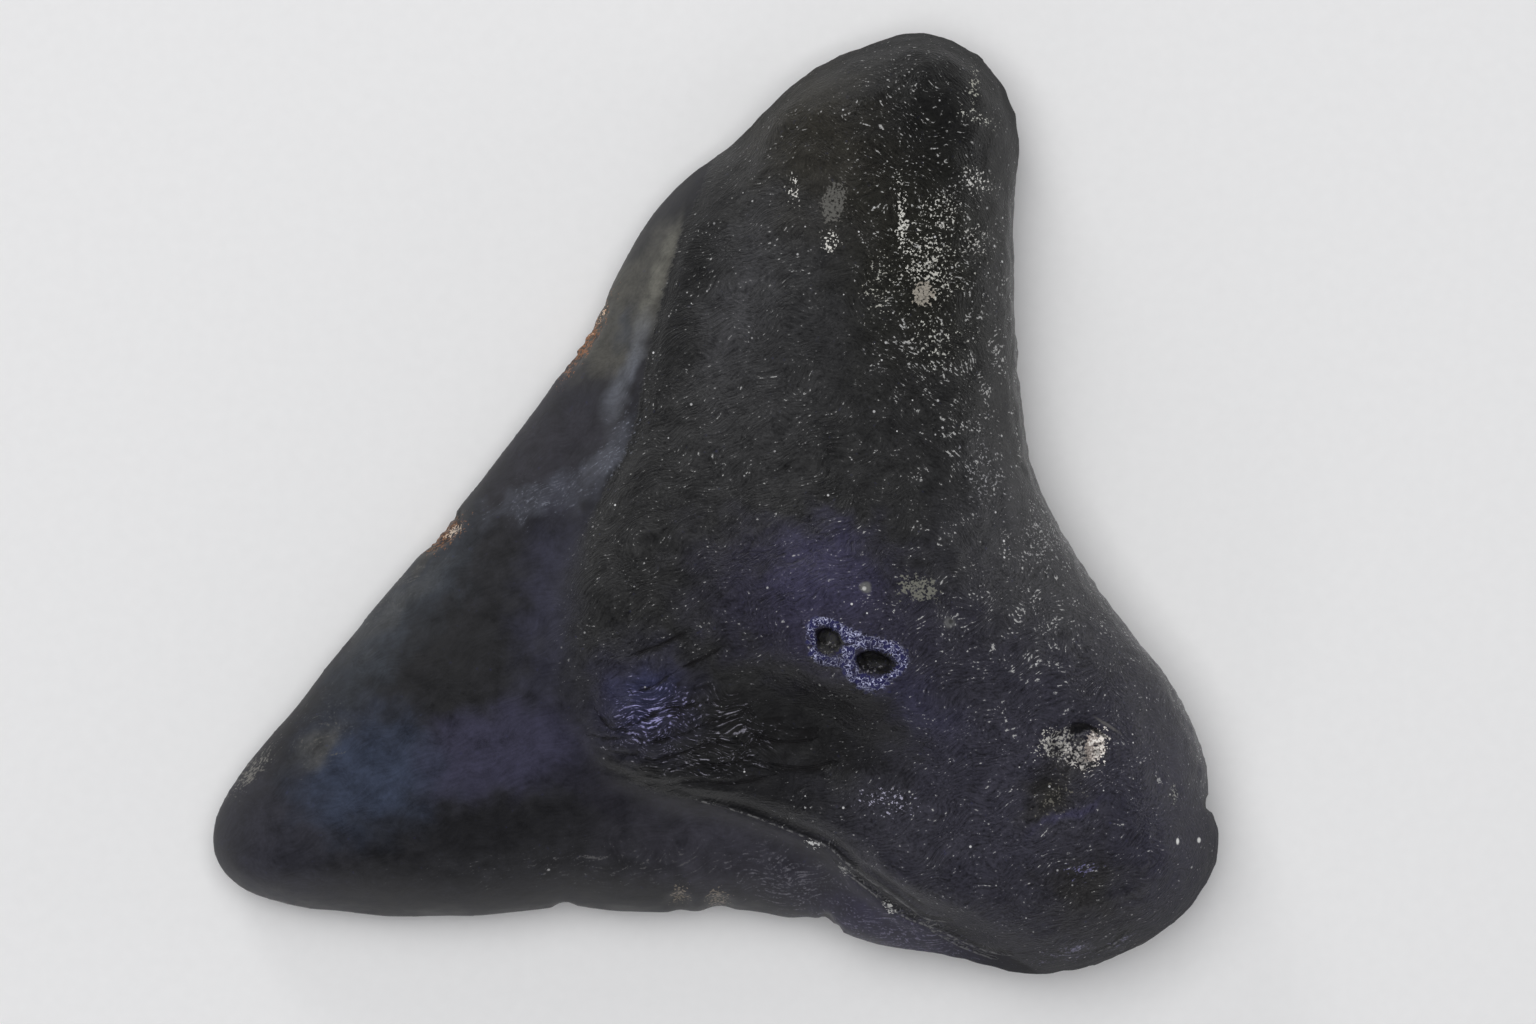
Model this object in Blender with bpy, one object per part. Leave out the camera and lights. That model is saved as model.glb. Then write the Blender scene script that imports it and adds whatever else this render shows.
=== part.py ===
"""A water-worn megalodon tooth, lying on its flat outer face with the swollen inner face up.

Seen from above, the blade points to lower left, the two lobes of the root stand at top and at lower right,
and the swelling with the two blood-vessel openings lies between them. Dimensions are in millimetres, and
points are (x, y) from above, until place_on_ground turns the mesh into metres.
"""

import math

import bmesh
import bpy
import numpy as np
from mathutils import Matrix, Vector

MM = 0.001

# Heights above the table that the tooth lies on, and how far its hollows clear the table
BLADE_HEIGHT = 11.6
ROOT_HEIGHT = 14.2
SWELLING_RISE = 4.9
JUNCTION_STEP = 0.6
CUTTING_EDGE_HEIGHT = 3.6
ROOT_EDGE_HEIGHT = 5.6
BASAL_EDGE_HEIGHT = 6.6
OUTER_FACE_HOLLOW = 0.9

# The patches of the outer face that are worn level and carry the tooth: middle, and size each way
LEVEL_PATCHES = [((17.0, 24.0), (8.0, 10.0)), ((28.0, -25.0), (9.0, 8.0)), ((-17.0, -19.0), (15.0, 8.0))]

# How far in from each kind of edge the surface has risen to its full height
UPPER_BLADE_REACH = 20.0
LOWER_BLADE_REACH = 10.5
ROOT_REACH = 10.0
BLADE_UNDER_REACH = 6.0
ROOT_UNDER_REACH = 7.5

# The outline from above, anticlockwise, in stretches of one kind each
UPPER_LOBE = [(24.2, 29.6), (23.2, 33.0), (20.4, 36.2), (16.2, 37.6), (12.6, 36.8), (7.6, 34.2), (4.7, 31.8)]
UPPER_BLADE_EDGE = [(1.9, 28.9), (-2.6, 25.5), (-6.2, 20.9), (-9.3, 15.3), (-12.7, 9.8), (-17.8, 2.8),
                    (-21.9, -2.3), (-26.0, -7.0), (-30.2, -11.9), (-33.9, -16.8)]
BLADE_TIP = [(-38.2, -22.0), (-40.3, -27.0), (-38.8, -30.2), (-34.6, -32.0)]
LOWER_BLADE_EDGE = [(-28.8, -32.8), (-20.6, -33.2), (-14.6, -32.7), (-12.0, -32.3), (-7.8, -32.7),
                    (4.2, -32.7), (6.2, -33.2), (8.5, -32.9)]
LOWER_LOBE = [(9.4, -33.8), (12.8, -35.1), (19.6, -36.2), (25.4, -37.6), (28.4, -37.3), (33.2, -35.8),
              (37.4, -33.0), (40.3, -28.4), (40.2, -26.2), (39.4, -24.0)]
BASAL_MARGIN = [(39.3, -21.6), (36.4, -14.6), (32.7, -9.6), (29.0, -4.5), (26.0, 1.2), (24.5, 7.6),
                (24.0, 17.0), (24.1, 25.0)]

# The line where the enamel of the blade ends against the root, from the upper edge to the lower lobe
ENAMEL_LINE = [(0.6, 29.4), (-2.6, 21.6), (-4.6, 14.6), (-6.2, 6.6), (-9.6, -1.4), (-11.4, -8.0),
               (-10.6, -14.6), (-8.6, -19.6), (-4.4, -22.6), (1.2, -23.9), (7.4, -26.3), (12.2, -30.3),
               (17.4, -33.0), (23.4, -35.8), (27.6, -38.6)]

# What rises from each face, or sinks where negative: its name, rise, middle, size each way, turn in degrees
BLADE_FORMS = [
    ("middle of the blade", 1.2, (-9.0, -15.0), (14.0, 7.0), 24),
    ("trough along the lower edge", -0.5, (-12.0, -26.0), (11.0, 2.6), 3),
]
ROOT_FORMS = [
    ("swelling", SWELLING_RISE, (11.2, -9.4), (7.6, 6.6), -12),
    ("lower lobe", 1.8, (30.0, -25.0), (8.0, 6.5), -35),
    ("hollow below the swelling", -3.4, (6.4, -19.0), (7.0, 3.2), -20),
    ("fold", 1.5, (-4.0, -16.4), (4.4, 2.6), -16),
    ("end of the upper lobe", -1.2, (17.0, 30.0), (10.0, 10.0), 0),
    ("valley beside the enamel", -0.9, (0.4, 17.0), (2.6, 9.0), -14),
]
OUTER_FORMS = [
    ("middle of the outer face", 0.5, (4.0, -8.0), (9.0, 9.0), 0),
    ("arch between the lobes", 1.8, (22.0, 3.0), (8.0, 12.0), 0),
]

# Hollows cut in the inner face: name, middle, size each way and down, turn in degrees, and how far the
# cutter's middle lies below the surface
HOLLOWS = [
    ("small_opening", (9.1, -10.6), (1.3, 1.15, 1.7), 20, 0.3),
    ("large_opening", (12.7, -12.4), (1.9, 1.15, 2.0), -8, 0.3),
    ("flaked_pit", (28.5, -19.3), (2.6, 1.9, 1.7), -15, -0.5),
    ("upper_chip", (-10.6, 13.6), (3.4, 1.0, 1.0), 59, -0.3),
    ("lower_chip", (-21.9, -2.2), (2.0, 0.9, 0.9), 50, -0.3),
]

# Mesh: the grids on a cube's top and base are gathered round one point, with their rings closer at the edge
GRID_CELLS = 44
GATHER_POINT = (6.8, -7.7)
EDGE_CROWDING = 1.25
EDGE_BAND = 0.4

# How softly the slopes from two edges meet, and over what length one edge height runs into the next
RIDGE_SHARPNESS = 4
EDGE_BLEND = 9.0


def smooth_step(low, high, value):
    """0 below low, 1 above high, and a smooth rise between."""
    share = np.clip((value - low) / (high - low), 0, 1)
    return share * share * (3 - 2 * share)


def round_rise(share):
    """The rise of a quarter round, 0 at an edge and 1 from one reach in."""
    return np.sqrt(1 - (1 - np.clip(share, 0, 1)) ** 2)


def lens_rise(share):
    """The rise of a lens section, which comes to its edge at a slant."""
    return 1 - (1 - np.clip(share, 0, 1)) ** 2


def mound(points, centre, radii, turn=0.0):
    """A bell-shaped mound of height 1, longer along one axis, turned by an angle in degrees."""
    away = points - np.array(centre)
    cos, sin = math.cos(math.radians(turn)), math.sin(math.radians(turn))
    along = (away[:, 0] * cos + away[:, 1] * sin) / radii[0]
    across = (away[:, 1] * cos - away[:, 0] * sin) / radii[1]
    return np.exp(-0.5 * (along ** 2 + across ** 2))


def all_mounds(points, forms):
    """What a list of forms adds to the height at each point."""
    return sum(rise * mound(points, middle, radii, turn) for _, rise, middle, radii, turn in forms)


def curve_through(name, points, cyclic):
    """A smooth guide curve through the points, left out of the tooth, and the points along it."""
    data = bpy.data.curves.new(name, "CURVE")
    data.resolution_u = 8
    spline = data.splines.new("BEZIER")
    spline.bezier_points.add(len(points) - 1)
    for knot, (x, y) in zip(spline.bezier_points, points):
        knot.co = (x * MM, y * MM, 0)
        knot.handle_left_type = "AUTO"
        knot.handle_right_type = "AUTO"
    spline.use_cyclic_u = cyclic
    guide = bpy.data.objects.new(name, data)
    guide.hide_render = True
    guide.display_type = "WIRE"
    collection_named("guides").objects.link(guide)
    bpy.context.view_layer.update()
    line = guide.evaluated_get(bpy.context.evaluated_depsgraph_get()).to_mesh()
    return np.array([v.co.xy for v in line.vertices], float) / MM


def collection_named(name):
    """The collection of that name, made at first use."""
    found = bpy.data.collections.get(name)
    if found is None:
        found = bpy.data.collections.new(name)
        bpy.context.scene.collection.children.link(found)
    return found


def distance_to_line(points, line):
    """Each point's distance to a line of short segments, positive on the segments' left."""
    start, run = line[:-1], np.diff(line, axis=0)
    away = points[:, None] - start
    share = np.clip((away * run).sum(2) / (run ** 2).sum(1), 0, 1)
    gap = away - share[..., None] * run
    distance = np.hypot(gap[..., 0], gap[..., 1])
    nearest = distance.argmin(1)
    row = np.arange(len(points))
    side = run[nearest, 0] * away[row, nearest, 1] - run[nearest, 1] * away[row, nearest, 0]
    return distance[row, nearest] * np.where(side < 0, -1, 1)


class Outline:
    """The tooth's outline, evenly sampled, with the height of its edge at each sample."""

    SAMPLES = 720

    def __init__(self):
        stretches = [
            (UPPER_LOBE, ROOT_EDGE_HEIGHT),
            (UPPER_BLADE_EDGE, CUTTING_EDGE_HEIGHT),
            (BLADE_TIP, CUTTING_EDGE_HEIGHT),
            (LOWER_BLADE_EDGE, CUTTING_EDGE_HEIGHT),
            (LOWER_LOBE, ROOT_EDGE_HEIGHT),
            (BASAL_MARGIN, BASAL_EDGE_HEIGHT),
        ]
        knots = [point for stretch, _ in stretches for point in stretch]
        knot_heights = np.array([height for stretch, height in stretches for _ in stretch])
        around = curve_through("outline", knots, cyclic=True)
        around = np.vstack([around, around[:1]])
        self.length, self.points = self.evenly(around)
        gaps = np.linalg.norm(self.points[:, None] - np.array(knots), axis=2)
        self.heights = self.blended(knot_heights[gaps.argmin(1)])

        def along(first, last):
            """The samples from one knot to a later one."""
            places = [np.linalg.norm(self.points - np.array(p), axis=1).argmin() for p in (first, last)]
            count = (places[1] - places[0]) % self.SAMPLES
            return self.points[(places[0] + np.arange(count + 1)) % self.SAMPLES]

        tip = BLADE_TIP[1]
        self.upper_blade = along(UPPER_BLADE_EDGE[0], tip)
        self.lower_blade = along(tip, LOWER_BLADE_EDGE[-1])
        self.root = along(LOWER_BLADE_EDGE[-1], UPPER_BLADE_EDGE[0])

    def evenly(self, line):
        """The line's length, and samples at equal steps along it from its first point."""
        reached = np.concatenate([[0], np.cumsum(np.linalg.norm(np.diff(line, axis=0), axis=1))])
        steps = np.linspace(0, reached[-1], self.SAMPLES, endpoint=False)
        return reached[-1], np.column_stack([np.interp(steps, reached, line[:, axis]) for axis in (0, 1)])

    def blended(self, values):
        """The values averaged along the outline, so that one stretch's height runs into the next."""
        window = int(EDGE_BLEND / self.length * self.SAMPLES)
        weights = np.hanning(2 * window + 1)
        around = np.concatenate([values[-window:], values, values[:window]])
        return np.convolve(around, weights / weights.sum(), mode="valid")

    def at(self, share):
        """The point and the edge height at a share of the way round."""
        place = np.asarray(share) * self.SAMPLES
        ring = np.arange(self.SAMPLES + 1)
        closed = np.vstack([self.points, self.points[:1]])
        heights = np.append(self.heights, self.heights[0])
        x, y, z = (np.interp(place, ring, row) for row in (closed[:, 0], closed[:, 1], heights))
        return np.column_stack([x, y]), z


def share_round_square(flat, ring):
    """How far round its square ring each point of a grid lies, from 0 to 1, anticlockwise."""
    x, y = (flat / np.maximum(ring, 1e-9)[:, None]).T
    sides = [x >= 1 - 1e-6, y >= 1 - 1e-6, x <= -1 + 1e-6]
    return np.select(sides, [(y + 1) / 8, 0.25 + (1 - x) / 8, 0.5 + (1 - y) / 8], 0.75 + (x + 1) / 8) % 1.0


def nearest_edge_share(points, outline, upper, lower, root):
    """Distance to the edges as a share of their reaches, with the ridge between two edges rounded."""
    shares = [
        np.abs(distance_to_line(points, outline.upper_blade)) / upper,
        np.abs(distance_to_line(points, outline.lower_blade)) / lower,
        np.abs(distance_to_line(points, outline.root)) / root,
    ]
    total = sum(np.maximum(share, 1e-6) ** -RIDGE_SHARPNESS for share in shares)
    return total ** (-1 / RIDGE_SHARPNESS)


def inner_face_height(points, outline, edge_height):
    """Height of the upper, swollen face, with the blade, the root and what stands on it."""
    enamel_line = curve_through("enamel_line", ENAMEL_LINE, cyclic=False)
    into_root = distance_to_line(points, enamel_line)
    half_width = 1.5 + 2.7 * smooth_step(-23, -12, points[:, 1])
    rootness = smooth_step(-half_width, half_width, into_root)
    share = nearest_edge_share(points, outline, UPPER_BLADE_REACH, LOWER_BLADE_REACH, ROOT_REACH)

    blade = BLADE_HEIGHT + all_mounds(points, BLADE_FORMS)
    root = ROOT_HEIGHT + JUNCTION_STEP * (1 - smooth_step(2, 9, into_root)) + all_mounds(points, ROOT_FORMS)

    blade_rise = 0.3 * round_rise(3 * share) + 0.7 * lens_rise(share)
    rise = blade_rise + (round_rise(share) - blade_rise) * rootness
    full = blade + (root - blade) * rootness
    return edge_height + EDGE_BAND / 2 + (full - edge_height) * rise


def outer_face_height(points, outline, edge_height):
    """Height of the lower, flat face, which stands on three patches worn level."""
    share = nearest_edge_share(points, outline, BLADE_UNDER_REACH, BLADE_UNDER_REACH, ROOT_UNDER_REACH)
    level = OUTER_FACE_HOLLOW + all_mounds(points, OUTER_FORMS)
    for middle, radii in LEVEL_PATCHES:
        level -= 2 * OUTER_FACE_HOLLOW * mound(points, middle, radii)
    level = np.maximum(level, 0)
    return level + (edge_height - EDGE_BAND / 2 - level) * (1 - round_rise(share))


def gather_to_tooth(bm, outline):
    """Draws the cube's square rings in to rings of the outline's shape, and lifts them to the two faces."""
    corners = np.array([v.co for v in bm.verts], float)
    ring = np.abs(corners[:, :2]).max(1)
    edge_point, edge_height = outline.at(share_round_square(corners[:, :2], ring))
    spread = 1 - (1 - ring) ** EDGE_CROWDING
    centre = np.array(GATHER_POINT)
    flat = centre + (edge_point - centre) * spread[:, None]
    upper = inner_face_height(flat, outline, edge_height)
    lower = outer_face_height(flat, outline, edge_height)
    height = np.where(corners[:, 2] > 0, upper, lower)
    for vert, (x, y), z in zip(bm.verts, flat, height):
        vert.co = (x, y, z)


def place_on_ground(mesh):
    """Turns millimetres into metres, with the middle of the base at the origin."""
    mesh.transform(Matrix.Scale(MM, 4))
    spots = np.array([v.co for v in mesh.vertices])
    low, high = spots.min(0), spots.max(0)
    mesh.transform(Matrix.Translation((-(low[0] + high[0]) / 2, -(low[1] + high[1]) / 2, 0)))


def make_tooth(outline):
    """The whole tooth as one closed body."""
    bm = bmesh.new()
    bmesh.ops.create_cube(bm, size=2)
    level_edges = [e for e in bm.edges if abs(e.verts[0].co.z - e.verts[1].co.z) < 1e-6]
    bmesh.ops.subdivide_edges(bm, edges=level_edges, cuts=GRID_CELLS - 1, use_grid_fill=True)
    gather_to_tooth(bm, outline)
    bmesh.ops.triangulate(bm, faces=bm.faces, quad_method="SHORT_EDGE")
    mesh = bpy.data.meshes.new("tooth")
    bm.to_mesh(mesh)
    bm.free()
    place_on_ground(mesh)
    mesh.shade_smooth()
    mesh.materials.append(fossil_material())
    tooth = bpy.data.objects.new("tooth", mesh)
    collection_named("megalodon_tooth").objects.link(tooth)
    return tooth


def surface_height(tooth, x, y):
    """Height of the tooth's upper face above a point, in metres."""
    hit, place, _, _ = tooth.ray_cast(Vector((x, y, 0.1)), Vector((0, 0, -1)))
    return place.z if hit else 0.0


def cut_hollow(tooth, name, centre, radii, turn, sink):
    """Cuts an egg-shaped hollow, its middle sunk below the surface, or above it if sink is negative."""
    x, y = (value * MM for value in centre)
    z = surface_height(tooth, x, y) - sink * MM
    bm = bmesh.new()
    bmesh.ops.create_icosphere(bm, subdivisions=3, radius=1)
    mesh = bpy.data.meshes.new(name)
    bm.to_mesh(mesh)
    bm.free()
    mesh.transform(Matrix.Diagonal((*(r * MM for r in radii), 1)))
    cutter = bpy.data.objects.new(name, mesh)
    cutter.location = (x, y, z)
    cutter.rotation_euler.z = math.radians(turn)
    cutter.hide_render = True
    cutter.display_type = "WIRE"
    collection_named("cutters").objects.link(cutter)
    cut = tooth.modifiers.new(name, "BOOLEAN")
    cut.operation = "DIFFERENCE"
    cut.object = cutter


def cut_hollows(tooth):
    """The two blood-vessel openings, a flaked pit on the lower lobe and two chips in the upper blade edge."""
    for name, centre, radii, turn, sink in HOLLOWS:
        cut_hollow(tooth, name, centre, radii, turn, sink)
    evened = tooth.modifiers.new("evened_shading", "WEIGHTED_NORMAL")
    evened.keep_sharp = True


def fossil_material():
    """Blue-black mineral with a soft polish."""
    material = bpy.data.materials.new("fossil")
    material.use_nodes = True
    shader = material.node_tree.nodes["Principled BSDF"]
    shader.inputs["Base Color"].default_value = (0.034, 0.033, 0.040, 1)
    shader.inputs["Roughness"].default_value = 0.42
    shader.inputs["Metallic"].default_value = 0.0
    return material


def main():
    """Clears the scene and builds the tooth."""
    for obj in list(bpy.data.objects):
        bpy.data.objects.remove(obj)
    tooth = make_tooth(Outline())
    bpy.context.view_layer.update()
    cut_hollows(tooth)


main()
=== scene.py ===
"""The finish of a sea-worn megalodon tooth, lying with its swollen inner face up.

The frame's solid is copied, meshed evenly and then carved with creases, wrinkles, openings, chips and grain.
One mineral finish covers the blade and the root. Points are (x, y) from above, in millimetres from the
frame's origin; x runs to the right of the photograph and y up it.
"""

import math

import bpy
import numpy as np
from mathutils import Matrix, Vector


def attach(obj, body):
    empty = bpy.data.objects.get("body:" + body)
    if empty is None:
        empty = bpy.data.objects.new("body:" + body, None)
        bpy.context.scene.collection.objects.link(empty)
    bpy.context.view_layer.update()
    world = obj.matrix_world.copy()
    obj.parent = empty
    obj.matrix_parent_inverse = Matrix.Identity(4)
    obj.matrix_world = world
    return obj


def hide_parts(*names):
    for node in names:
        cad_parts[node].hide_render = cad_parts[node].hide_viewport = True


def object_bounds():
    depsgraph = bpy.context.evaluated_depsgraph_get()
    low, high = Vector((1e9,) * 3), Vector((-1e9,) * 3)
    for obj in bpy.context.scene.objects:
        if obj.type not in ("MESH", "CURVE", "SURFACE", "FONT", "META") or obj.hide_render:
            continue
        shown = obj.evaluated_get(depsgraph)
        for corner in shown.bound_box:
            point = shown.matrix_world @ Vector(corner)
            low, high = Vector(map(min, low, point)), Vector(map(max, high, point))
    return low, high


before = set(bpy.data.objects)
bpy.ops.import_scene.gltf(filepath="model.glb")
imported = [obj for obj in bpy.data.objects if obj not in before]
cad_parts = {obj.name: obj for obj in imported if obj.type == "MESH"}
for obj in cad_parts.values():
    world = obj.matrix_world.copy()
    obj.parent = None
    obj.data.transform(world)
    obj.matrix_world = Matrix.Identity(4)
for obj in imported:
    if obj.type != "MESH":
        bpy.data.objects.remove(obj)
CAD_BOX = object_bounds()

MM = 0.001

# Mesh: how the solid is welded and made quads, the even grid that the carving is done on, the passes that
# soften it, and the girth that they take away
WELD_DISTANCE = 0.005
QUAD_ANGLE = math.radians(50)
GRID = 0.36
SOFTENING_PASSES = 3
LOST_TO_SOFTENING = 0.09

# Heights this near the solid's top are eased down, to end no further than the margin above it
TOP_BAND = 0.8
TOP_MARGIN = 0.25

# Carving weights are set in this many steps, and a hollow this deep counts as full
WEIGHT_STEPS = 64
FULL_HOLLOW = 0.16

# Where enamel ends and root begins on the inner face: down the upper side, round the fold, along the crease
UPPER_ENAMEL_EDGE = [(0.6, 29.4), (-1.2, 24.6), (-2.8, 21.0), (-4.4, 15.4), (-5.6, 9.8), (-6.6, 5.0),
                     (-8.8, 0.6), (-10.6, -3.4)]
FOLD_FOOT = [(-11.4, -8.0), (-10.8, -13.5), (-9.8, -17.4), (-8.6, -20.4), (-5.4, -22.4), (-1.8, -23.4)]
CREASE = [(2.0, -24.4), (4.7, -25.4), (6.8, -26.3), (9.0, -27.2), (10.6, -28.6)]
SECOND_CREASE = [(11.1, -29.8), (12.4, -30.8), (13.8, -32.0), (15.4, -33.0), (17.0, -33.6), (19.4, -34.7),
                 (21.5, -35.6), (23.4, -35.9)]
ENAMEL_EDGE = UPPER_ENAMEL_EDGE + FOLD_FOOT + CREASE + SECOND_CREASE + [(27.6, -38.6)]

# The same border on the hidden outer face, where the enamel climbs higher up the root
OUTER_ENAMEL_EDGE = [(2.4, 30.4), (5.2, 22.0), (9.6, 10.0), (14.2, 0.4), (15.6, -7.6), (13.6, -16.0),
                     (11.4, -25.0), (10.6, -36.0)]

# The stretch of the border that is creased, from the fold's foot to the lower edge
LOW_BORDER = FOLD_FOOT[3:] + CREASE + SECOND_CREASE

# Fine lines beside the crease: a hooked one above it, one below it, and an arc at the lower lobe's end
HOOKED_LINE = [(10.6, -28.5), (12.2, -29.8), (14.3, -31.2), (16.2, -32.6), (17.2, -33.1), (18.6, -33.2)]
LOW_LINE = [(17.2, -33.9), (19.6, -35.3), (22.2, -36.3)]
LOBE_ARC = [(30.6, -35.6), (31.6, -35.1), (32.6, -34.1)]

# The lines of the crease that are pale and worn, beside which the crease is darkened with painted shade
PALE_LINES = [[(-1.2, -23.5), *CREASE, (12.2, -29.8)], HOOKED_LINE, [(9.8, -28.6), *SECOND_CREASE],
              LOW_LINE, LOBE_ARC]

# Strokes along the enamel's end and the crease: name, line, rise, half width, and how far they lie to the
# line's left, which is the root's side
EDGE_STROKES = [
    ("enamel_end", UPPER_ENAMEL_EDGE, 0.1, 0.9, -1.0),
    ("groove_by_enamel", UPPER_ENAMEL_EDGE, -0.1, 0.5, 0.3),
    ("crease_shadow", LOW_BORDER, -0.4, 1.0, 1.1),
    ("crease", LOW_BORDER, -0.3, 0.35, 0.3),
    ("enamel_lip", LOW_BORDER, 0.12, 0.4, -0.3),
    ("hooked_line", HOOKED_LINE, -0.2, 0.3, 0.35),
    ("hooked_lip", HOOKED_LINE, 0.12, 0.3, -0.1),
    ("low_line", LOW_LINE, -0.2, 0.3, 0.0),
    ("lobe_arc", LOBE_ARC, -0.2, 0.3, 0.0),
]

# Where the crease deepens, from left to right, and the share of its depth that it has before that
CREASE_DEEPENS = (-3.0, 4.0)
SHALLOW_SHARE = 0.3

# Strokes along the enamel's end on the hidden outer face, in the same order
OUTER_STROKES = [
    ("outer_enamel_end", OUTER_ENAMEL_EDGE, 0.2, 0.9, -0.9),
    ("outer_groove", OUTER_ENAMEL_EDGE, -0.4, 0.6, 0.4),
]

# Grooves of the wrinkled fold, from its upper side down
FOLD_GROOVES = [
    [(-6.5, -12.0), (-4.2, -11.2), (-2.0, -10.1)],
    [(-2.4, -12.9), (-1.0, -12.3), (0.6, -11.4)],
    [(-6.2, -14.9), (-4.8, -14.5), (-3.4, -13.5)],
    [(-9.2, -16.4), (-8.2, -17.7), (-7.1, -17.7), (-6.2, -17.4), (-4.4, -16.6), (-2.4, -16.0), (-0.4, -15.7)],
    [(-9.6, -18.3), (-8.0, -18.6), (-6.4, -18.3), (-5.2, -18.8), (-3.8, -18.6), (-2.1, -18.1), (-0.7, -17.4),
     (1.4, -16.9)],
    [(-8.0, -19.6), (-6.4, -19.8), (-4.8, -20.2), (-2.8, -19.8), (-0.5, -19.0), (2.2, -18.9)],
    [(-5.6, -21.0), (-3.6, -21.1), (-1.6, -20.5), (0.8, -20.6), (3.2, -20.0)],
    [(-3.4, -22.2), (-1.0, -21.9), (1.8, -22.1), (4.6, -21.5)],
    [(3.4, -18.4), (5.6, -18.9), (7.8, -18.7)],
    [(4.6, -20.6), (7.2, -20.9), (9.6, -20.4)],
]

# How far the steep rim faces up, from where it counts fully to where it counts no more, and the same for its
# shaded stretches
RIM_SLOPES = (0.2, 0.62)
SHADED_SLOPES = (0.2, 0.95)

# Where the right rim begins, from left to right, and where its worn marks and painted highlight, and its
# painted shade, set in and end on it, going up
RIM_START = (12.0, 22.0)
WORN_AND_LIT_FROM = (-30.0, -20.0)
WORN_AND_LIT_TO = (26.0, 36.0)
SHADED_BELOW = (-28.0, -18.0)
SHADED_ABOVE = (22.0, 32.0)

# The crumpled lip round the two blood-vessel openings, its wider stretches and the bridge between them
OPENING_LIP = [(7.7, -11.2), (7.7, -10.7), (7.6, -9.9), (8.0, -9.4), (8.8, -9.3), (9.8, -9.8), (10.8, -10.3),
               (11.9, -10.8), (13.2, -11.0), (14.2, -11.4), (14.9, -12.1), (14.7, -12.9), (13.8, -13.5),
               (13.0, -14.1), (12.1, -14.2), (11.2, -13.6), (10.7, -13.0), (10.0, -12.5), (8.8, -12.4),
               (8.0, -12.0), (7.7, -11.2)]
WIDE_LIPS = [[(9.6, -10.0), (10.8, -10.5), (12.2, -11.0), (13.4, -11.3), (14.4, -12.0), (14.6, -12.9)],
             [(13.9, -13.6), (12.6, -14.2), (11.4, -13.9), (10.7, -12.9), (10.5, -11.9), (10.6, -10.9)]]

# The openings' middles, half sizes and turns, and the height above which they lie
OPENINGS = [((9.1, -10.8), (1.3, 1.15), 20), ((12.7, -12.4), (1.9, 1.15), -8)]
OPENINGS_ABOVE = 5.0

# How far their rims and floors reach out as shares of their size, how deep the floors lie, and the share of a
# deeper hole that crumbs fill
RIM_REACH = 1.7
FLOOR_REACH = 1.15
FLOOR_DEPTH = 0.5
FILLED_SHARE = 0.6

# Lines along which the openings are undercut
UNDERCUTS = [[(8.3, -11.2), (8.5, -10.1), (9.6, -9.8)], [(11.5, -12.2), (12.6, -11.8), (13.9, -12.3)]]

# Soft forms of the inner face: middle, half sizes, turn in degrees and softness
HOLLOW_UNDER_SWELLING = ((7.4, -17.6), (6.4, 2.4), -22, 0.8)
ROOT_VALLEY = ((-0.6, 15.0), (1.8, 11.0), -14, 0.8)
WRINKLED_FOLD = ((-1.4, -18.2), (8.4, 4.4), -8, 0.6)
PIT = ((28.5, -19.4), (2.4, 1.7), -12, 0.35)
LOW_HOLLOW = ((26.4, -23.0), (2.0, 1.6), 40, 0.7)

# The ledge below the swelling and the notch in the pit's upper side
SWELLING_LEDGE = [(5.4, -11.6), (9.8, -13.6), (14.0, -15.6), (17.4, -16.6)]
PIT_NOTCH = [(27.8, -18.0), (29.2, -17.6), (30.6, -18.1)]

# Chips in the lower lobe, which are alike, and in the upper cutting edge
LOBE_CHIPS = [((35.0, -21.8), (0.6, 0.45), 50, 0.5), ((36.4, -22.8), (0.6, 0.45), 50, 0.5)]
EDGE_CHIPS = [((-10.6, 13.4), (3.4, 1.0), 60, 0.5), ((-21.9, -2.2), (2.0, 0.9), 45, 0.5)]

# Nicks in the lower edge and the lower lobe's end: middle and half sizes
NICKS = [((-2.8, -32.0), (0.9, 0.8)), ((0.3, -32.2), (1.1, 0.8)), ((-12.0, -32.6), (0.8, 0.5)),
         ((8.9, -33.5), (0.5, 0.7)), ((9.6, -34.2), (0.5, 0.5)), ((39.6, -24.0), (0.5, 0.6))]

# Long cracks in the hidden outer face
OUTER_CRACKS = [[(-30.0, -24.6), (-20.0, -18.4), (-8.0, -12.6), (2.0, -6.4)],
                [(-22.0, -25.0), (-12.0, -20.6), (-3.0, -17.8)],
                [(-17.0, -8.0), (-9.0, -2.0), (-1.0, 6.0), (3.0, 12.4)]]

# Broad areas that the finish treats in their own way: middle, size each way, turn in degrees, softness
AREAS = {
    "fold_area": ((-1.8, -18.0), (8.4, 4.6), -8, 0.5),
    "violet_area": ((-5.2, -15.8), (3.6, 3.2), -20, 0.6),
    "blurred_border": ((-10.4, -12.4), (5.4, 8.4), 0, 0.5),
    "busy_area": ((22.0, 6.0), (10.0, 22.0), 16, 0.8),
    "top_area": ((14.0, 31.0), (10.0, 9.0), 0, 0.8),
    "right_side": ((17.0, 20.0), (8.0, 22.0), 8, 0.5),
}


def deselect_all():
    """Leaves nothing selected, in object mode."""
    if bpy.context.object and bpy.context.object.mode != "OBJECT":
        bpy.ops.object.mode_set(mode="OBJECT")
    bpy.ops.object.select_all(action="DESELECT")


def make_active(piece):
    """Selects one piece alone."""
    deselect_all()
    piece.select_set(True)
    bpy.context.view_layer.objects.active = piece


def apply(piece, modifier):
    """Applies a modifier to its piece."""
    make_active(piece)
    bpy.ops.object.modifier_apply(modifier=modifier.name)


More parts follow.
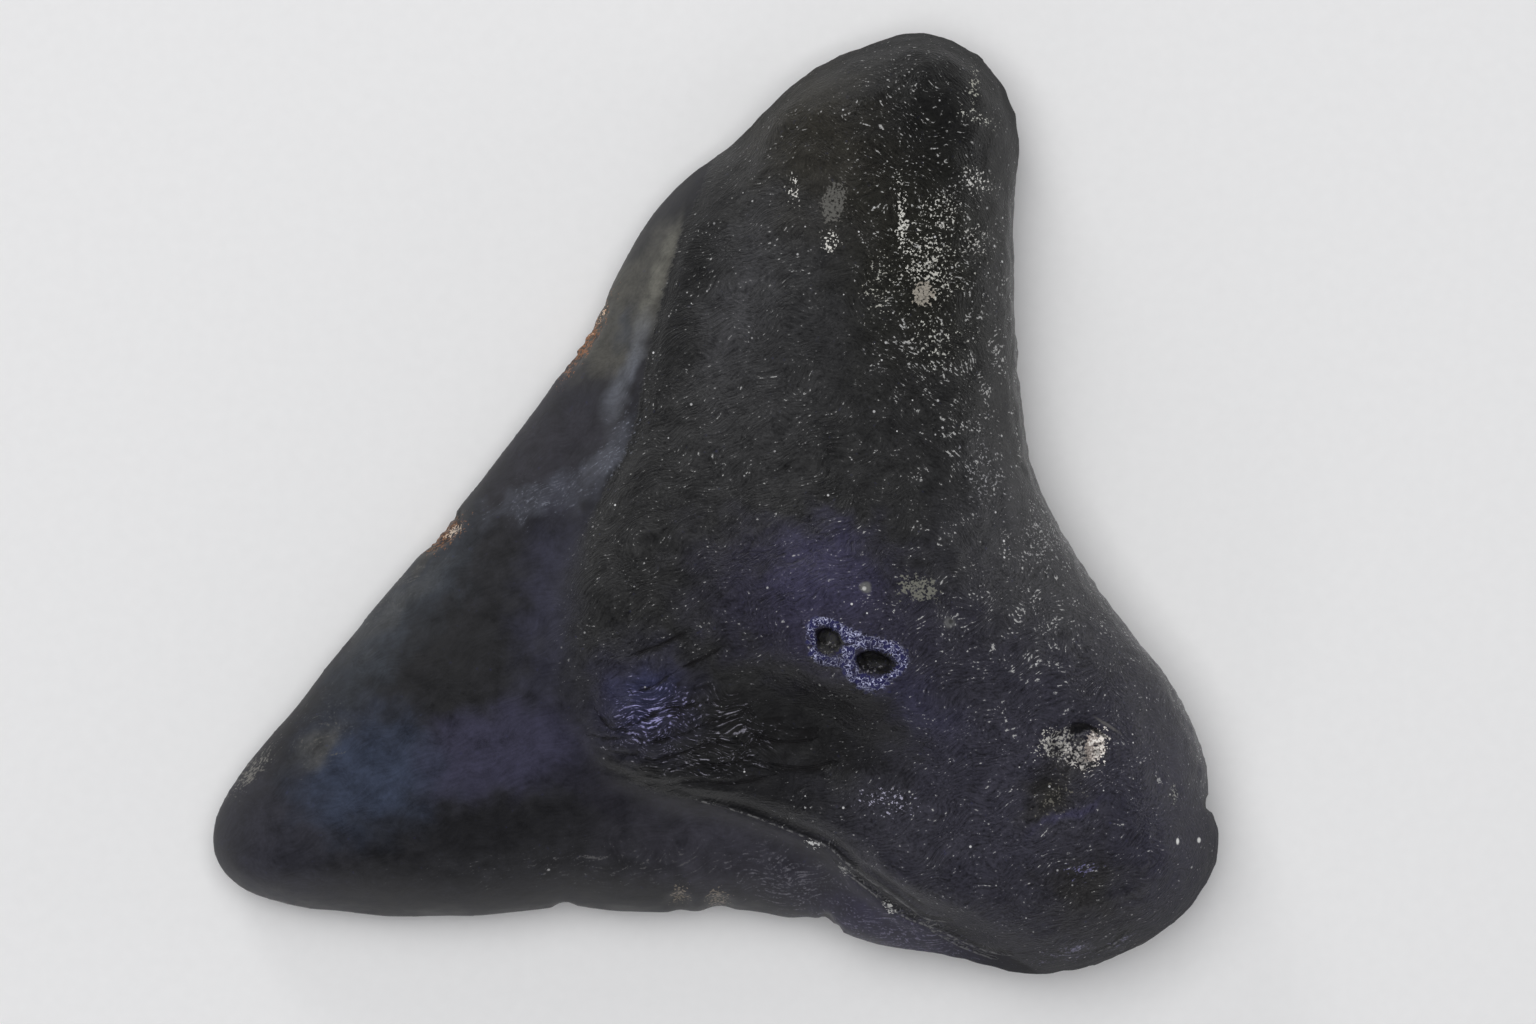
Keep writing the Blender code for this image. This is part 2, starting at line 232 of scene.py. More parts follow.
def copy_of_solid(node, name):
    """A welded copy of a solid of the frame, as quads where its triangles pair up."""
    make_active(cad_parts[node])
    bpy.ops.object.duplicate()
    copy = bpy.context.object
    copy.name = name
    copy.data.name = name
    copy.parent = None
    copy.data.materials.clear()
    for key in list(copy.keys()):
        del copy[key]
    bpy.ops.object.mode_set(mode="EDIT")
    bpy.ops.mesh.select_all(action="SELECT")
    bpy.ops.mesh.customdata_custom_splitnormals_clear()
    bpy.ops.mesh.remove_doubles(threshold=WELD_DISTANCE * MM)
    bpy.ops.mesh.tris_convert_to_quads(face_threshold=QUAD_ANGLE, shape_threshold=QUAD_ANGLE)
    bpy.ops.object.mode_set(mode="OBJECT")
    return copy


def mesh_evenly(tooth):
    """Rounds the solid's facets off and gives the surface one even grid."""
    rounded = tooth.modifiers.new("rounded", "SUBSURF")
    rounded.levels = 2
    rounded.render_levels = 2
    apply(tooth, rounded)
    grid = tooth.modifiers.new("grid", "REMESH")
    grid.mode = "VOXEL"
    grid.voxel_size = GRID * MM
    apply(tooth, grid)
    softened = tooth.modifiers.new("softened", "SMOOTH")
    softened.factor = 0.5
    softened.iterations = SOFTENING_PASSES
    apply(tooth, softened)
    bpy.ops.object.shade_smooth()


class Surface:
    """The tooth's surface as arrays: points in millimetres, and how far each one faces up."""

    def __init__(self, tooth):
        vertices = tooth.data.vertices
        points = np.empty(len(vertices) * 3, np.float32)
        normals = np.empty_like(points)
        vertices.foreach_get("co", points)
        vertices.foreach_get("normal", normals)
        self.points = points.reshape(-1, 3) / MM
        self.normals = normals.reshape(-1, 3)
        self.flat = self.points[:, :2]
        self.facing_up = self.normals[:, 2]

    def inner(self):
        """1 on the inner face, 0 on the outer face, with a short blend round the edge."""
        return smooth_step(-0.2, 0.2, self.facing_up)

    def outer(self):
        """1 on the outer face and 0 on the inner face."""
        return 1 - self.inner()


def smooth_step(low, high, value):
    """0 below low, 1 above high, and a smooth rise between."""
    share = np.clip((value - low) / (high - low), 0, 1)
    return share * share * (3 - 2 * share)


def through(points, steps=6):
    """A smooth line through the points, with that many steps between each two."""
    knots = np.array([points[0], *points, points[-1]], float)
    shares = np.linspace(0, 1, steps, endpoint=False)[:, None]
    line = []
    for before, start, end, after in zip(knots, knots[1:], knots[2:], knots[3:]):
        line.append(0.5 * (2 * start + (end - before) * shares
                           + (2 * before - 5 * start + 4 * end - after) * shares ** 2
                           + (3 * start - before - 3 * end + after) * shares ** 3))
    return np.vstack([*line, knots[-1]])


def beside_line(flat, points):
    """Each spot's distance to a line through the points, positive on its left, and its place from 0 to 1."""
    line = through(points)
    start, run = line[:-1], np.diff(line, axis=0)
    reached = np.concatenate([[0], np.cumsum(np.hypot(*run.T))])
    nearest = np.full(len(flat), np.inf)
    signed = np.zeros(len(flat))
    place = np.zeros(len(flat))
    for k in range(len(run)):
        away = flat - start[k]
        share = np.clip(away @ run[k] / (run[k] @ run[k]), 0, 1)
        gap = away - share[:, None] * run[k]
        distance = np.hypot(gap[:, 0], gap[:, 1])
        closer = distance < nearest
        nearest[closer] = distance[closer]
        side = np.sign(run[k][0] * away[:, 1] - run[k][1] * away[:, 0])
        signed[closer] = (distance * side)[closer]
        place[closer] = ((reached[k] + share * (reached[k + 1] - reached[k])) / reached[-1])[closer]
    return signed, place


def stroke(flat, points, width, offset=0.0, taper=0.15):
    """A soft stroke of that half width along a line, thinning out at its ends."""
    away, place = beside_line(flat, points)
    ends = smooth_step(0, taper, place) * smooth_step(0, taper, 1 - place)
    return np.exp(-((away - offset) / width) ** 2) * ends


def oval(flat, centre, radii, turn=0.0, softness=0.5):
    """1 inside an oval turned by an angle in degrees, fading out over the softness share of its size."""
    away = flat - np.array(centre)
    cos, sin = math.cos(math.radians(turn)), math.sin(math.radians(turn))
    along = (away[:, 0] * cos + away[:, 1] * sin) / radii[0]
    across = (away[:, 1] * cos - away[:, 0] * sin) / radii[1]
    return 1 - smooth_step(1 - softness, 1 + softness, np.hypot(along, across))


def cloud_texture(name, size, kind="CLOUDS", depth=2):
    """A noise texture for displacement, with lumps of that size in millimetres."""
    texture = bpy.data.textures.new(name, kind)
    texture.noise_scale = size * MM
    if kind == "CLOUDS":
        texture.noise_depth = depth
    return texture


def grain_guide(name, stretch, turn):
    """An empty that stretches a texture along a direction given in degrees."""
    deselect_all()
    bpy.ops.object.empty_add(rotation=(0, 0, math.radians(turn)))
    guide = bpy.context.object
    guide.name = name
    guide.scale = (stretch, 1, 1)
    return guide


def carve(tooth, name, depth, weights, texture=None, guide=None, direction="NORMAL"):
    """Raises the surface by a depth in millimetres, or sinks it where negative, by weights from 0 to 1."""
    group = tooth.vertex_groups.new(name=name)
    levels = np.rint(np.clip(weights, 0, 1) * WEIGHT_STEPS).astype(int)
    for level in np.unique(levels[levels > 0]):
        group.add(np.flatnonzero(levels == level).tolist(), float(level) / WEIGHT_STEPS, "REPLACE")
    push = tooth.modifiers.new(name, "DISPLACE")
    push.strength = depth * MM
    push.vertex_group = name
    push.direction = direction
    push.mid_level = 0.0
    if texture:
        push.texture = texture
        push.mid_level = 0.5
        push.texture_coords = "LOCAL"
    if guide:
        push.texture_coords = "OBJECT"
        push.texture_coords_object = guide
    apply(tooth, push)
    tooth.vertex_groups.remove(tooth.vertex_groups[name])
    if guide:
        bpy.data.objects.remove(guide)


def shape_the_forms(tooth):
    """Slow rises and falls over the whole tooth, and the hollow under the swelling."""
    flat = Surface(tooth).flat
    everywhere = np.ones(len(flat))
    carve(tooth, "girth", LOST_TO_SOFTENING, everywhere)
    carve(tooth, "slow_unevenness", 0.5, everywhere, cloud_texture("slow_lumps", 9.0, depth=1))
    spots = Surface(tooth)
    inner = spots.inner()
    carve(tooth, "hollow_under_swelling", -0.7, inner * oval(flat, *HOLLOW_UNDER_SWELLING))
    carve(tooth, "swelling_ledge", 0.18, inner * stroke(flat, SWELLING_LEDGE, 1.3))
    carve(tooth, "root_valley", -0.35, inner * oval(flat, *ROOT_VALLEY))


def carve_enamel_edge(tooth):
    """The enamel's rounded end, a dark groove on the root's side, and the deep crease at the lower side."""
    spots = Surface(tooth)
    inner = spots.inner()
    along_crease = SHALLOW_SHARE + (1 - SHALLOW_SHARE) * smooth_step(*CREASE_DEEPENS, spots.flat[:, 0])
    for name, line, rise, width, offset in EDGE_STROKES:
        mask = inner * along_crease if line is LOW_BORDER else inner
        carve(tooth, name, rise, mask * stroke(spots.flat, line, width, offset))


def wrinkle_the_fold(tooth):
    """The bark-like fold left of the swelling, with grooves that run across it."""
    spots = Surface(tooth)
    inner = spots.inner()
    grooves = np.max([stroke(spots.flat, line, 0.34) for line in FOLD_GROOVES], axis=0)
    carve(tooth, "fold_grooves", -0.26, inner * grooves)
    area = inner * oval(spots.flat, *WRINKLED_FOLD)
    fine = cloud_texture("fold_wrinkles", 0.72, depth=3)
    carve(tooth, "fold_wrinkles", 0.9, area, fine, grain_guide("fold_grain", 2.6, 2))


def crumple_the_openings(tooth):
    """The rough lip round the two openings, the bridge between them and their crumbled floors."""
    spots = Surface(tooth)
    above = spots.points[:, 2] > OPENINGS_ABOVE
    floors = np.zeros(len(spots.flat))
    for centre, radii, turn in OPENINGS:
        rim_band = oval(spots.flat, centre, [RIM_REACH * size for size in radii], turn, 0.05)
        inside = oval(spots.flat, centre, [FLOOR_REACH * size for size in radii], turn, 0.1)
        rim = np.median(spots.points[(rim_band > 0.5) & (inside < 0.5) & (spots.facing_up > 0.6), 2])
        missing = np.clip((rim - FLOOR_DEPTH - spots.points[:, 2]) * FILLED_SHARE, 0, 1)
        floors = np.maximum(floors, above * inside * missing)
    carve(tooth, "opening_floors", 1.0, floors, direction="Z")
    undercut = np.max([stroke(spots.flat, line, 0.4) for line in UNDERCUTS], axis=0)
    carve(tooth, "opening_undercuts", -0.9, above * undercut, direction="Z")
    lip = spots.inner() * opening_lip(spots.flat)
    carve(tooth, "opening_lip", 0.24, lip)
    crumbs = cloud_texture("lip_crumbs", 0.62, depth=2)
    carve(tooth, "lip_crumbs", 1.0, np.maximum(lip, 0.7 * np.minimum(floors * 4, 1)), crumbs)


def opening_lip(flat):
    """1 on the crumpled lip and on the bridge between the openings, and 0 away from them."""
    wide = np.max([stroke(flat, line, 0.62, taper=0.1) for line in WIDE_LIPS], axis=0)
    return np.maximum(stroke(flat, OPENING_LIP, 0.4, taper=0.01), wide)


def break_the_pit(tooth):
    """The flaked pit in the lower lobe with its notched upper side, the hollow below it and two chips."""
    spots = Surface(tooth)
    inner = spots.inner()
    pit = inner * oval(spots.flat, *PIT)
    carve(tooth, "pit", -0.1, pit)
    carve(tooth, "pit_notch", -0.8, inner * stroke(spots.flat, PIT_NOTCH, 0.4))
    carve(tooth, "pit_crumbs", 1.0, pit, cloud_texture("crumbs", 0.8, depth=3))
    carve(tooth, "low_hollow", -0.45, inner * oval(spots.flat, *LOW_HOLLOW))
    for chip in LOBE_CHIPS:
        carve(tooth, "small_chip", -0.12, inner * oval(spots.flat, *chip))


def chip_the_edges(tooth):
    """Crumbled chips in the upper cutting edge, and nicks in the lower one and in the lower lobe's end."""
    spots = Surface(tooth)
    flat = spots.flat
    chips = np.max([oval(flat, *chip) for chip in EDGE_CHIPS], axis=0)
    carve(tooth, "edge_chips", -0.35, chips)
    carve(tooth, "edge_crumbs", 0.9, chips, cloud_texture("edge_crumbs", 0.8, depth=3))
    nicks = np.max([oval(flat, centre, radii, 0, 0.6) for centre, radii in NICKS], axis=0)
    carve(tooth, "nicks", -0.35, nicks)


def finish_outer_face(tooth):
    """The hidden face: the enamel's low end, long cracks in the blade and pores in the root."""
    spots = Surface(tooth)
    outer = spots.outer()
    for name, line, rise, width, offset in OUTER_STROKES:
        carve(tooth, name, rise, outer * stroke(spots.flat, line, width, offset))
    cracks = np.max([stroke(spots.flat, line, 0.35) for line in OUTER_CRACKS], axis=0)
    carve(tooth, "outer_cracks", -0.3, outer * cracks)
    into_root = smooth_step(0.5, 4.0, beside_line(spots.flat, OUTER_ENAMEL_EDGE)[0])
    carve(tooth, "outer_pores", -0.35, outer * into_root, cloud_texture("pores", 1.5, "VORONOI"))


def roughen(tooth):
    """Wrinkled grain over the root and a fainter one over the enamel."""
    spots = Surface(tooth)
    into_root, _ = beside_line(spots.flat, ENAMEL_EDGE)
    root = 0.18 + 0.82 * smooth_step(0.2, 2.0, into_root)
    grain = cloud_texture("grain", 1.1, depth=3)
    carve(tooth, "root_grain", 0.26, root, grain, grain_guide("grain_run", 1.8, 28))
    carve(tooth, "worn_dimples", 0.14, root, cloud_texture("dimples", 3.2, depth=1))


def press_level(tooth):
    """Nothing stands below the surface that the tooth lies on, nor far above the solid."""
    top = CAD_BOX[1][2] / MM + TOP_MARGIN
    for vertex in tooth.data.vertices:
        height = max(vertex.co.z / MM, 0)
        if height > top - TOP_BAND:
            height = top - TOP_BAND * math.exp((top - TOP_BAND - height) / TOP_BAND)
        vertex.co.z = height * MM


def note_on_surface(tooth, name, values):
    """Keeps one value at each point of the surface, for the finish to read."""
    tooth.data.attributes.new(name, "FLOAT", "POINT").data.foreach_set("value", values.astype(np.float32))


def note_lines(tooth, spots, name, lines):
    """Keeps each point's place beside the nearest of some fine lines, and its distance from that line."""
    side = np.zeros(len(spots.flat))
    gap = np.full(len(spots.flat), np.inf)
    for line in lines:
        away, _ = beside_line(spots.flat, line)
        closer = np.abs(away) < gap
        side[closer] = away[closer]
        gap[closer] = np.abs(away)[closer]
    note_on_surface(tooth, name + "_side", side)
    note_on_surface(tooth, name + "_gap", gap + 10 * spots.outer())


def hollowness(tooth, passes=14):
    """How deep each point lies below its softened surroundings, from -1 on a crest to 1 in a groove."""
    spots = Surface(tooth)
    size = len(spots.points)
    edges = np.empty(len(tooth.data.edges) * 2, np.int32)
    tooth.data.edges.foreach_get("vertices", edges)
    one, other = edges.reshape(-1, 2).T
    softened = spots.points.astype(float)
    count = np.bincount(one, minlength=size) + np.bincount(other, minlength=size)
    for _ in range(passes):
        total = [np.bincount(one, softened[other, k], size) + np.bincount(other, softened[one, k], size)
                 for k in range(3)]
        softened = 0.5 * softened + 0.5 * np.column_stack(total) / count[:, None]
    depth = ((softened - spots.points) * spots.normals).sum(1)
    return np.clip(depth / FULL_HOLLOW, -1, 1)


def note_rims(tooth, spots):
    """Keeps where the steep right edge is worn pale with a painted highlight, and where the edges below and
    above it take painted shade.
    """
    x, y = spots.flat.T
    right = smooth_step(*RIM_START, x)
    steep = spots.inner() * (1 - smooth_step(*RIM_SLOPES, spots.facing_up))
    sloping = spots.inner() * (1 - smooth_step(*SHADED_SLOPES, spots.facing_up))
    worn = right * smooth_step(*WORN_AND_LIT_FROM, y) * (1 - smooth_step(*WORN_AND_LIT_TO, y))
    below = right * (1 - smooth_step(*SHADED_BELOW, y))
    # Worn marks and a painted highlight on the steep right rim, and painted shade on the rims below and above
    note_on_surface(tooth, "worn_and_glinting_rim", steep * worn)
    note_on_surface(tooth, "shaded_rim", np.maximum(sloping * below, steep * smooth_step(*SHADED_ABOVE, y)))


def note_the_parts(tooth):
    """Keeps what the finish reads: the distance into the root, hollows, rims, areas and fine lines."""
    spots = Surface(tooth)
    inner_distance, _ = beside_line(spots.flat, ENAMEL_EDGE)
    outer_distance, _ = beside_line(spots.flat, OUTER_ENAMEL_EDGE)
    inner = spots.inner()
    note_on_surface(tooth, "into_root", inner * inner_distance + (1 - inner) * outer_distance)
    note_on_surface(tooth, "inner_face", inner)
    note_on_surface(tooth, "hollowness", hollowness(tooth))
    note_rims(tooth, spots)
    note_on_surface(tooth, "opening_lip", inner * opening_lip(spots.flat))
    for name, area in AREAS.items():
        note_on_surface(tooth, name, inner * oval(spots.flat, *area))
    note_lines(tooth, spots, "shaded_fold_groove", FOLD_GROOVES)
    note_lines(tooth, spots, "crease_line", PALE_LINES)


def make_tooth():
    """The finished tooth, in place of the frame's solid."""
    tooth = copy_of_solid("tooth", "worn_tooth")
    mesh_evenly(tooth)
    for shaping in (shape_the_forms, carve_enamel_edge, wrinkle_the_fold, crumple_the_openings, break_the_pit,
                    chip_the_edges, finish_outer_face, roughen, press_level):
        shaping(tooth)
    note_the_parts(tooth)
    tooth.data.materials.append(FossilFinish().build())
    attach(tooth, "root")
    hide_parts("tooth")


class Bench:
    """Adds nodes to one tree. A socket takes a number, a colour, or the output of another node."""

    def __init__(self, tree):
        self.tree = tree

    def feed(self, socket, value):
        """Sets a socket, or links it where the value is another node's output."""
        if isinstance(value, bpy.types.NodeSocket):
            self.tree.links.new(value, socket)
        else:
            socket.default_value = value

    def add(self, kind, sockets=(), **settings):
        """One node of a kind, with its settings and its named sockets."""
        node = self.tree.nodes.new(kind)
        for name, value in settings.items():
            setattr(node, name, value)
        for name, value in dict(sockets).items():
            self.feed(node.inputs[name], value)
        return node

    def math(self, operation, *values):
        """One arithmetic step."""
        node = self.add("ShaderNodeMath", operation=operation)
        for socket, value in zip(node.inputs, values):
            self.feed(socket, value)
        return node.outputs[0]

    def times(self, one, other):
        """The product of two values."""
        return self.math("MULTIPLY", one, other)

    def scaled(self, value, times, plus):
        """A value times a second, plus a third."""
        return self.math("MULTIPLY_ADD", value, times, plus)

    def vector(self, operation, *values):
        """One step with vectors. Scaling takes a vector and a number."""
        node = self.add("ShaderNodeVectorMath", operation=operation)
        sockets = [node.inputs[0], node.inputs["Scale"]] if operation == "SCALE" else node.inputs
        for socket, value in zip(sockets, values):
            self.feed(socket, value)
        return node.outputs["Value" if operation == "LENGTH" else "Vector"]

    def ramp(self, value, low, high, start=0.0, end=1.0):
        """A smooth rise from start to end, as the value goes from low to high."""
        node = self.add("ShaderNodeMapRange", interpolation_type="SMOOTHSTEP", clamp=False)
        for name, number in zip(("Value", "From Min", "From Max", "To Min", "To Max"),
                                (value, low, high, start, end)):
            self.feed(node.inputs[name], number)
        return node.outputs["Result"]

    def noise(self, vector, scale, detail=2.0, roughness=0.5):
        """Soft noise from 0 to 1."""
        node = self.add("ShaderNodeTexNoise", {"Vector": vector, "Scale": scale, "Detail": detail,
                                               "Roughness": roughness})
        return node.outputs[0]

    def blend(self, start, end, share):
        """A number between two others."""
        node = self.add("ShaderNodeMix", data_type="FLOAT")
        for index, value in ((0, share), (2, start), (3, end)):
            self.feed(node.inputs[index], value)
        return node.outputs[0]

    def mix(self, share, under, over, blend="MIX"):
        """One colour laid over another."""
        node = self.add("ShaderNodeMix", data_type="RGBA", blend_type=blend)
        for index, value in ((0, share), (6, under), (7, over)):
            self.feed(node.inputs[index], value)
        return node.outputs[2]


def new_group(name, inputs, outputs):
    """An empty shader node group with those sockets, its bench, and its input and output nodes."""
    group = bpy.data.node_groups.new(name, "ShaderNodeTree")
    for socket, kind in inputs.items():
        group.interface.new_socket(name=socket, in_out="INPUT", socket_type=kind)
    for socket, kind in outputs.items():
        group.interface.new_socket(name=socket, in_out="OUTPUT", socket_type=kind)
    bench = Bench(group)
    return group, bench, bench.add("NodeGroupInput").outputs, bench.add("NodeGroupOutput").inputs


def patch_group():
    """A ragged oval patch: its strength inside, 0 outside. Distances are in millimetres."""
    group, bench, given, made = new_group(
        "ragged_patch",
        {"Place": "NodeSocketVector", "Wander": "NodeSocketVector", "Ragged": "NodeSocketVector",
         "Centre": "NodeSocketVector", "Turn": "NodeSocketFloat", "Size": "NodeSocketVector",
         "Softness": "NodeSocketFloat", "Strength": "NodeSocketFloat"},
        {"Mask": "NodeSocketFloat"})
    shifted = bench.vector("MULTIPLY_ADD", given["Wander"], given["Ragged"], given["Place"])
    away = bench.vector("SUBTRACT", shifted, given["Centre"])
    turned = bench.add("ShaderNodeVectorRotate", {"Vector": away, "Angle": given["Turn"]},
                       rotation_type="Z_AXIS")
    share = bench.vector("LENGTH", bench.vector("DIVIDE", turned.outputs[0], given["Size"]))
    inside = bench.math("SUBTRACT", 1.0, given["Softness"])
    outside = bench.math("ADD", 1.0, given["Softness"])
    bench.feed(made["Mask"], bench.ramp(share, inside, outside, given["Strength"], 0.0))
    return group


# A dot is this share of its full size and brightness at least, and is solid out to half its size
LEAST_DOT_SIZE = 0.4
LEAST_DOT_LIGHT = 0.3
SOLID_DOT_SHARE = 0.5


def fleck_group():
    """Scattered pale dots: their spacing and size are in millimetres, and Amount is the share that shows."""
    group, bench, given, made = new_group(
        "scattered_flecks",
        {"Place": "NodeSocketVector", "Spacing": "NodeSocketFloat", "Size": "NodeSocketFloat",
         "Amount": "NodeSocketFloat"},
        {"Mask": "NodeSocketFloat"})
    scale = bench.math("DIVIDE", 1.0, given["Spacing"])
    cells = bench.add("ShaderNodeTexVoronoi", {"Vector": given["Place"], "Scale": scale})
    chance = bench.add("ShaderNodeSeparateColor", {"Color": cells.outputs["Color"]})
    size = bench.times(bench.times(given["Size"], scale),
                       bench.math("ADD", chance.outputs[1], LEAST_DOT_SIZE))
    dot = bench.ramp(cells.outputs["Distance"], bench.times(size, SOLID_DOT_SHARE), size, 1.0, 0.0)
    shown = bench.math("LESS_THAN", chance.outputs[0], given["Amount"])
    bright = bench.math("ADD", bench.times(chance.outputs[2], 1 - LEAST_DOT_LIGHT), LEAST_DOT_LIGHT)
    bench.feed(made["Mask"], bench.times(bench.times(dot, shown), bright))
    return group


def streak_group():
    """Fine wrinkles that run in one direction: their height from 0 to 1, a half on average."""
    group, bench, given, made = new_group(
        "wrinkle_grain",
        {"Place": "NodeSocketVector", "Length": "NodeSocketFloat", "Width": "NodeSocketFloat",
         "Turn": "NodeSocketFloat"},
        {"Height": "NodeSocketFloat"})
    turned = bench.add("ShaderNodeVectorRotate",
                       {"Vector": given["Place"], "Angle": bench.times(given["Turn"], -1.0)},
                       rotation_type="Z_AXIS")
    stretch = bench.add("ShaderNodeCombineXYZ",
                        {"X": given["Length"], "Y": given["Width"], "Z": given["Width"]})
    squeezed = bench.vector("DIVIDE", turned.outputs[0], stretch.outputs[0])
    bench.feed(made["Height"], bench.noise(squeezed, 1.0, 2.0, 0.55))
    return group


# The height above which grain is marked, as wear, crumbs of crust or a painted glint, how much lower it lies
# at full density, and the density below which the marks fade out
MARKED_HEIGHT = 0.65
MARKED_HEIGHT_DROP = 0.22
FADING_DENSITY = 0.06


def marks_group():
    """Marks where a grain stands above a height, lower as the density rises from 0 to 1: worn marks, crumbs
    and painted glints.
    """
    group, bench, given, made = new_group(
        "marks_and_glints",
        {"Grain": "NodeSocketFloat", "Density": "NodeSocketFloat", "Spread": "NodeSocketFloat"},
        {"Mask": "NodeSocketFloat"})
    raised = bench.scaled(given["Density"], MARKED_HEIGHT_DROP, given["Grain"])
    mark = bench.ramp(raised, MARKED_HEIGHT, bench.math("ADD", MARKED_HEIGHT, given["Spread"]))
    bench.feed(made["Mask"], bench.times(mark, bench.ramp(given["Density"], 0.0, FADING_DENSITY)))
    return group


# A fine line is solid over this share of its width, and fades out this far from where it was drawn
SOLID_LINE_SHARE = 0.4
LINE_FADES = (0.35, 0.6)


def line_group():
    """A fine soft line, from each spot's place beside it and its distance from it, in millimetres."""
    group, bench, given, made = new_group(
        "fine_line",
        {"Side": "NodeSocketFloat", "Gap": "NodeSocketFloat", "Offset": "NodeSocketFloat",
         "Width": "NodeSocketFloat"},
        {"Mask": "NodeSocketFloat"})
    away = bench.math("ABSOLUTE", bench.math("SUBTRACT", given["Side"], given["Offset"]))
    line = bench.ramp(away, bench.times(given["Width"], SOLID_LINE_SHARE), given["Width"], 1.0, 0.0)
    near = bench.ramp(given["Gap"], *LINE_FADES, 1.0, 0.0)
    bench.feed(made["Mask"], bench.times(line, near))
    return group


def shade(red, green, blue):
    """A colour as it is read off a screen, 0 to 255, as linear light."""
    return (*((value / 255) ** 2.2 for value in (red, green, blue)), 1.0)


# Stains and tints, and some patches of painted shade. Each has a name, middle, size each way, turn in
# degrees, raggedness, softness, colour as read off a screen, and strength, which also says how much is left
# of what breaks up into crumbs
ENAMEL_TINTS = [
    ("grey_upper_side", (-12.0, 6.6), (3.6, 8.0), -36, 2.0, 0.7, (50, 49, 55), 0.8),
    ("pale_upper_end", (-6.8, 15.6), (2.9, 6.8), -32, 1.2, 0.35, (76, 75, 70), 0.9),
    ("pale_border_strip", (-4.3, 18.2), (0.6, 4.4), -19, 0.6, 0.6, (99, 98, 91), 0.8),
    ("blue_mottle", (-7.0, 14.2), (0.9, 1.6), -20, 1.6, 0.7, (58, 61, 66), 0.7),
    ("dark_below_pale_end", (-10.2, 9.0), (2.6, 1.5), 10, 1.6, 0.6, (42, 42, 47), 0.7),
    ("pale_blue_streak", (-6.9, 10.6), (0.7, 3.8), -22, 0.8, 0.7, (90, 93, 100), 0.7),
    ("pale_edge_band", (-8.6, 3.4), (1.0, 3.6), -28, 1.2, 0.6, (78, 80, 88), 0.8),
    ("brushed_streaks", (-13.6, 0.4), (4.8, 1.0), 20, 1.8, 0.8, (72, 74, 82), 0.7),
    ("blue_grey_side", (-25.0, -9.0), (7.8, 2.2), 52, 2.0, 0.8, (56, 61, 68), 0.8),
    ("violet_column", (-12.6, -8.0), (2.6, 7.0), -8, 2.0, 0.8, (51, 51, 65), 0.8),
    ("dark_middle", (-20.8, -12.4), (5.2, 3.8), 24, 2.4, 0.8, (37, 37, 38), 0.8),
    ("worn_high_edge", (-23.4, -3.4), (4.6, 0.8), 48, 1.4, 0.7, (66, 66, 64), 0.6),
    ("grey_tip", (-35.6, -27.0), (4.2, 6.6), 40, 2.0, 0.8, (48, 48, 55), 0.85),
    ("violet_middle", (-17.0, -19.6), (7.6, 3.4), 10, 1.4, 0.5, (56, 55, 72), 0.85),
    ("blue_tip", (-27.8, -21.6), (5.4, 4.4), 6, 1.6, 0.6, (52, 59, 75), 0.9),
    ("low_dark_band", (-14.6, -25.4), (12.0, 1.7), 4, 1.2, 0.7, (32, 32, 34), 0.85),
    ("shoulder", (1.2, -27.8), (9.0, 3.4), -12, 2.0, 0.7, (55, 54, 61), 0.85),
    ("dark_by_fold", (-9.0, -22.4), (3.2, 1.4), -30, 1.2, 0.7, (42, 41, 49), 0.7),
    ("worn_streak", (-31.4, -19.4), (2.4, 0.9), 34, 1.2, 0.9, (76, 75, 70), 0.6),
    ("worn_high_streak", (-25.6, -8.6), (4.6, 0.8), 44, 1.2, 0.9, (74, 75, 75), 0.6),
    ("violet_low_lip", (14.6, -34.4), (7.0, 2.6), -24, 1.6, 0.8, (51, 49, 65), 0.9),
]
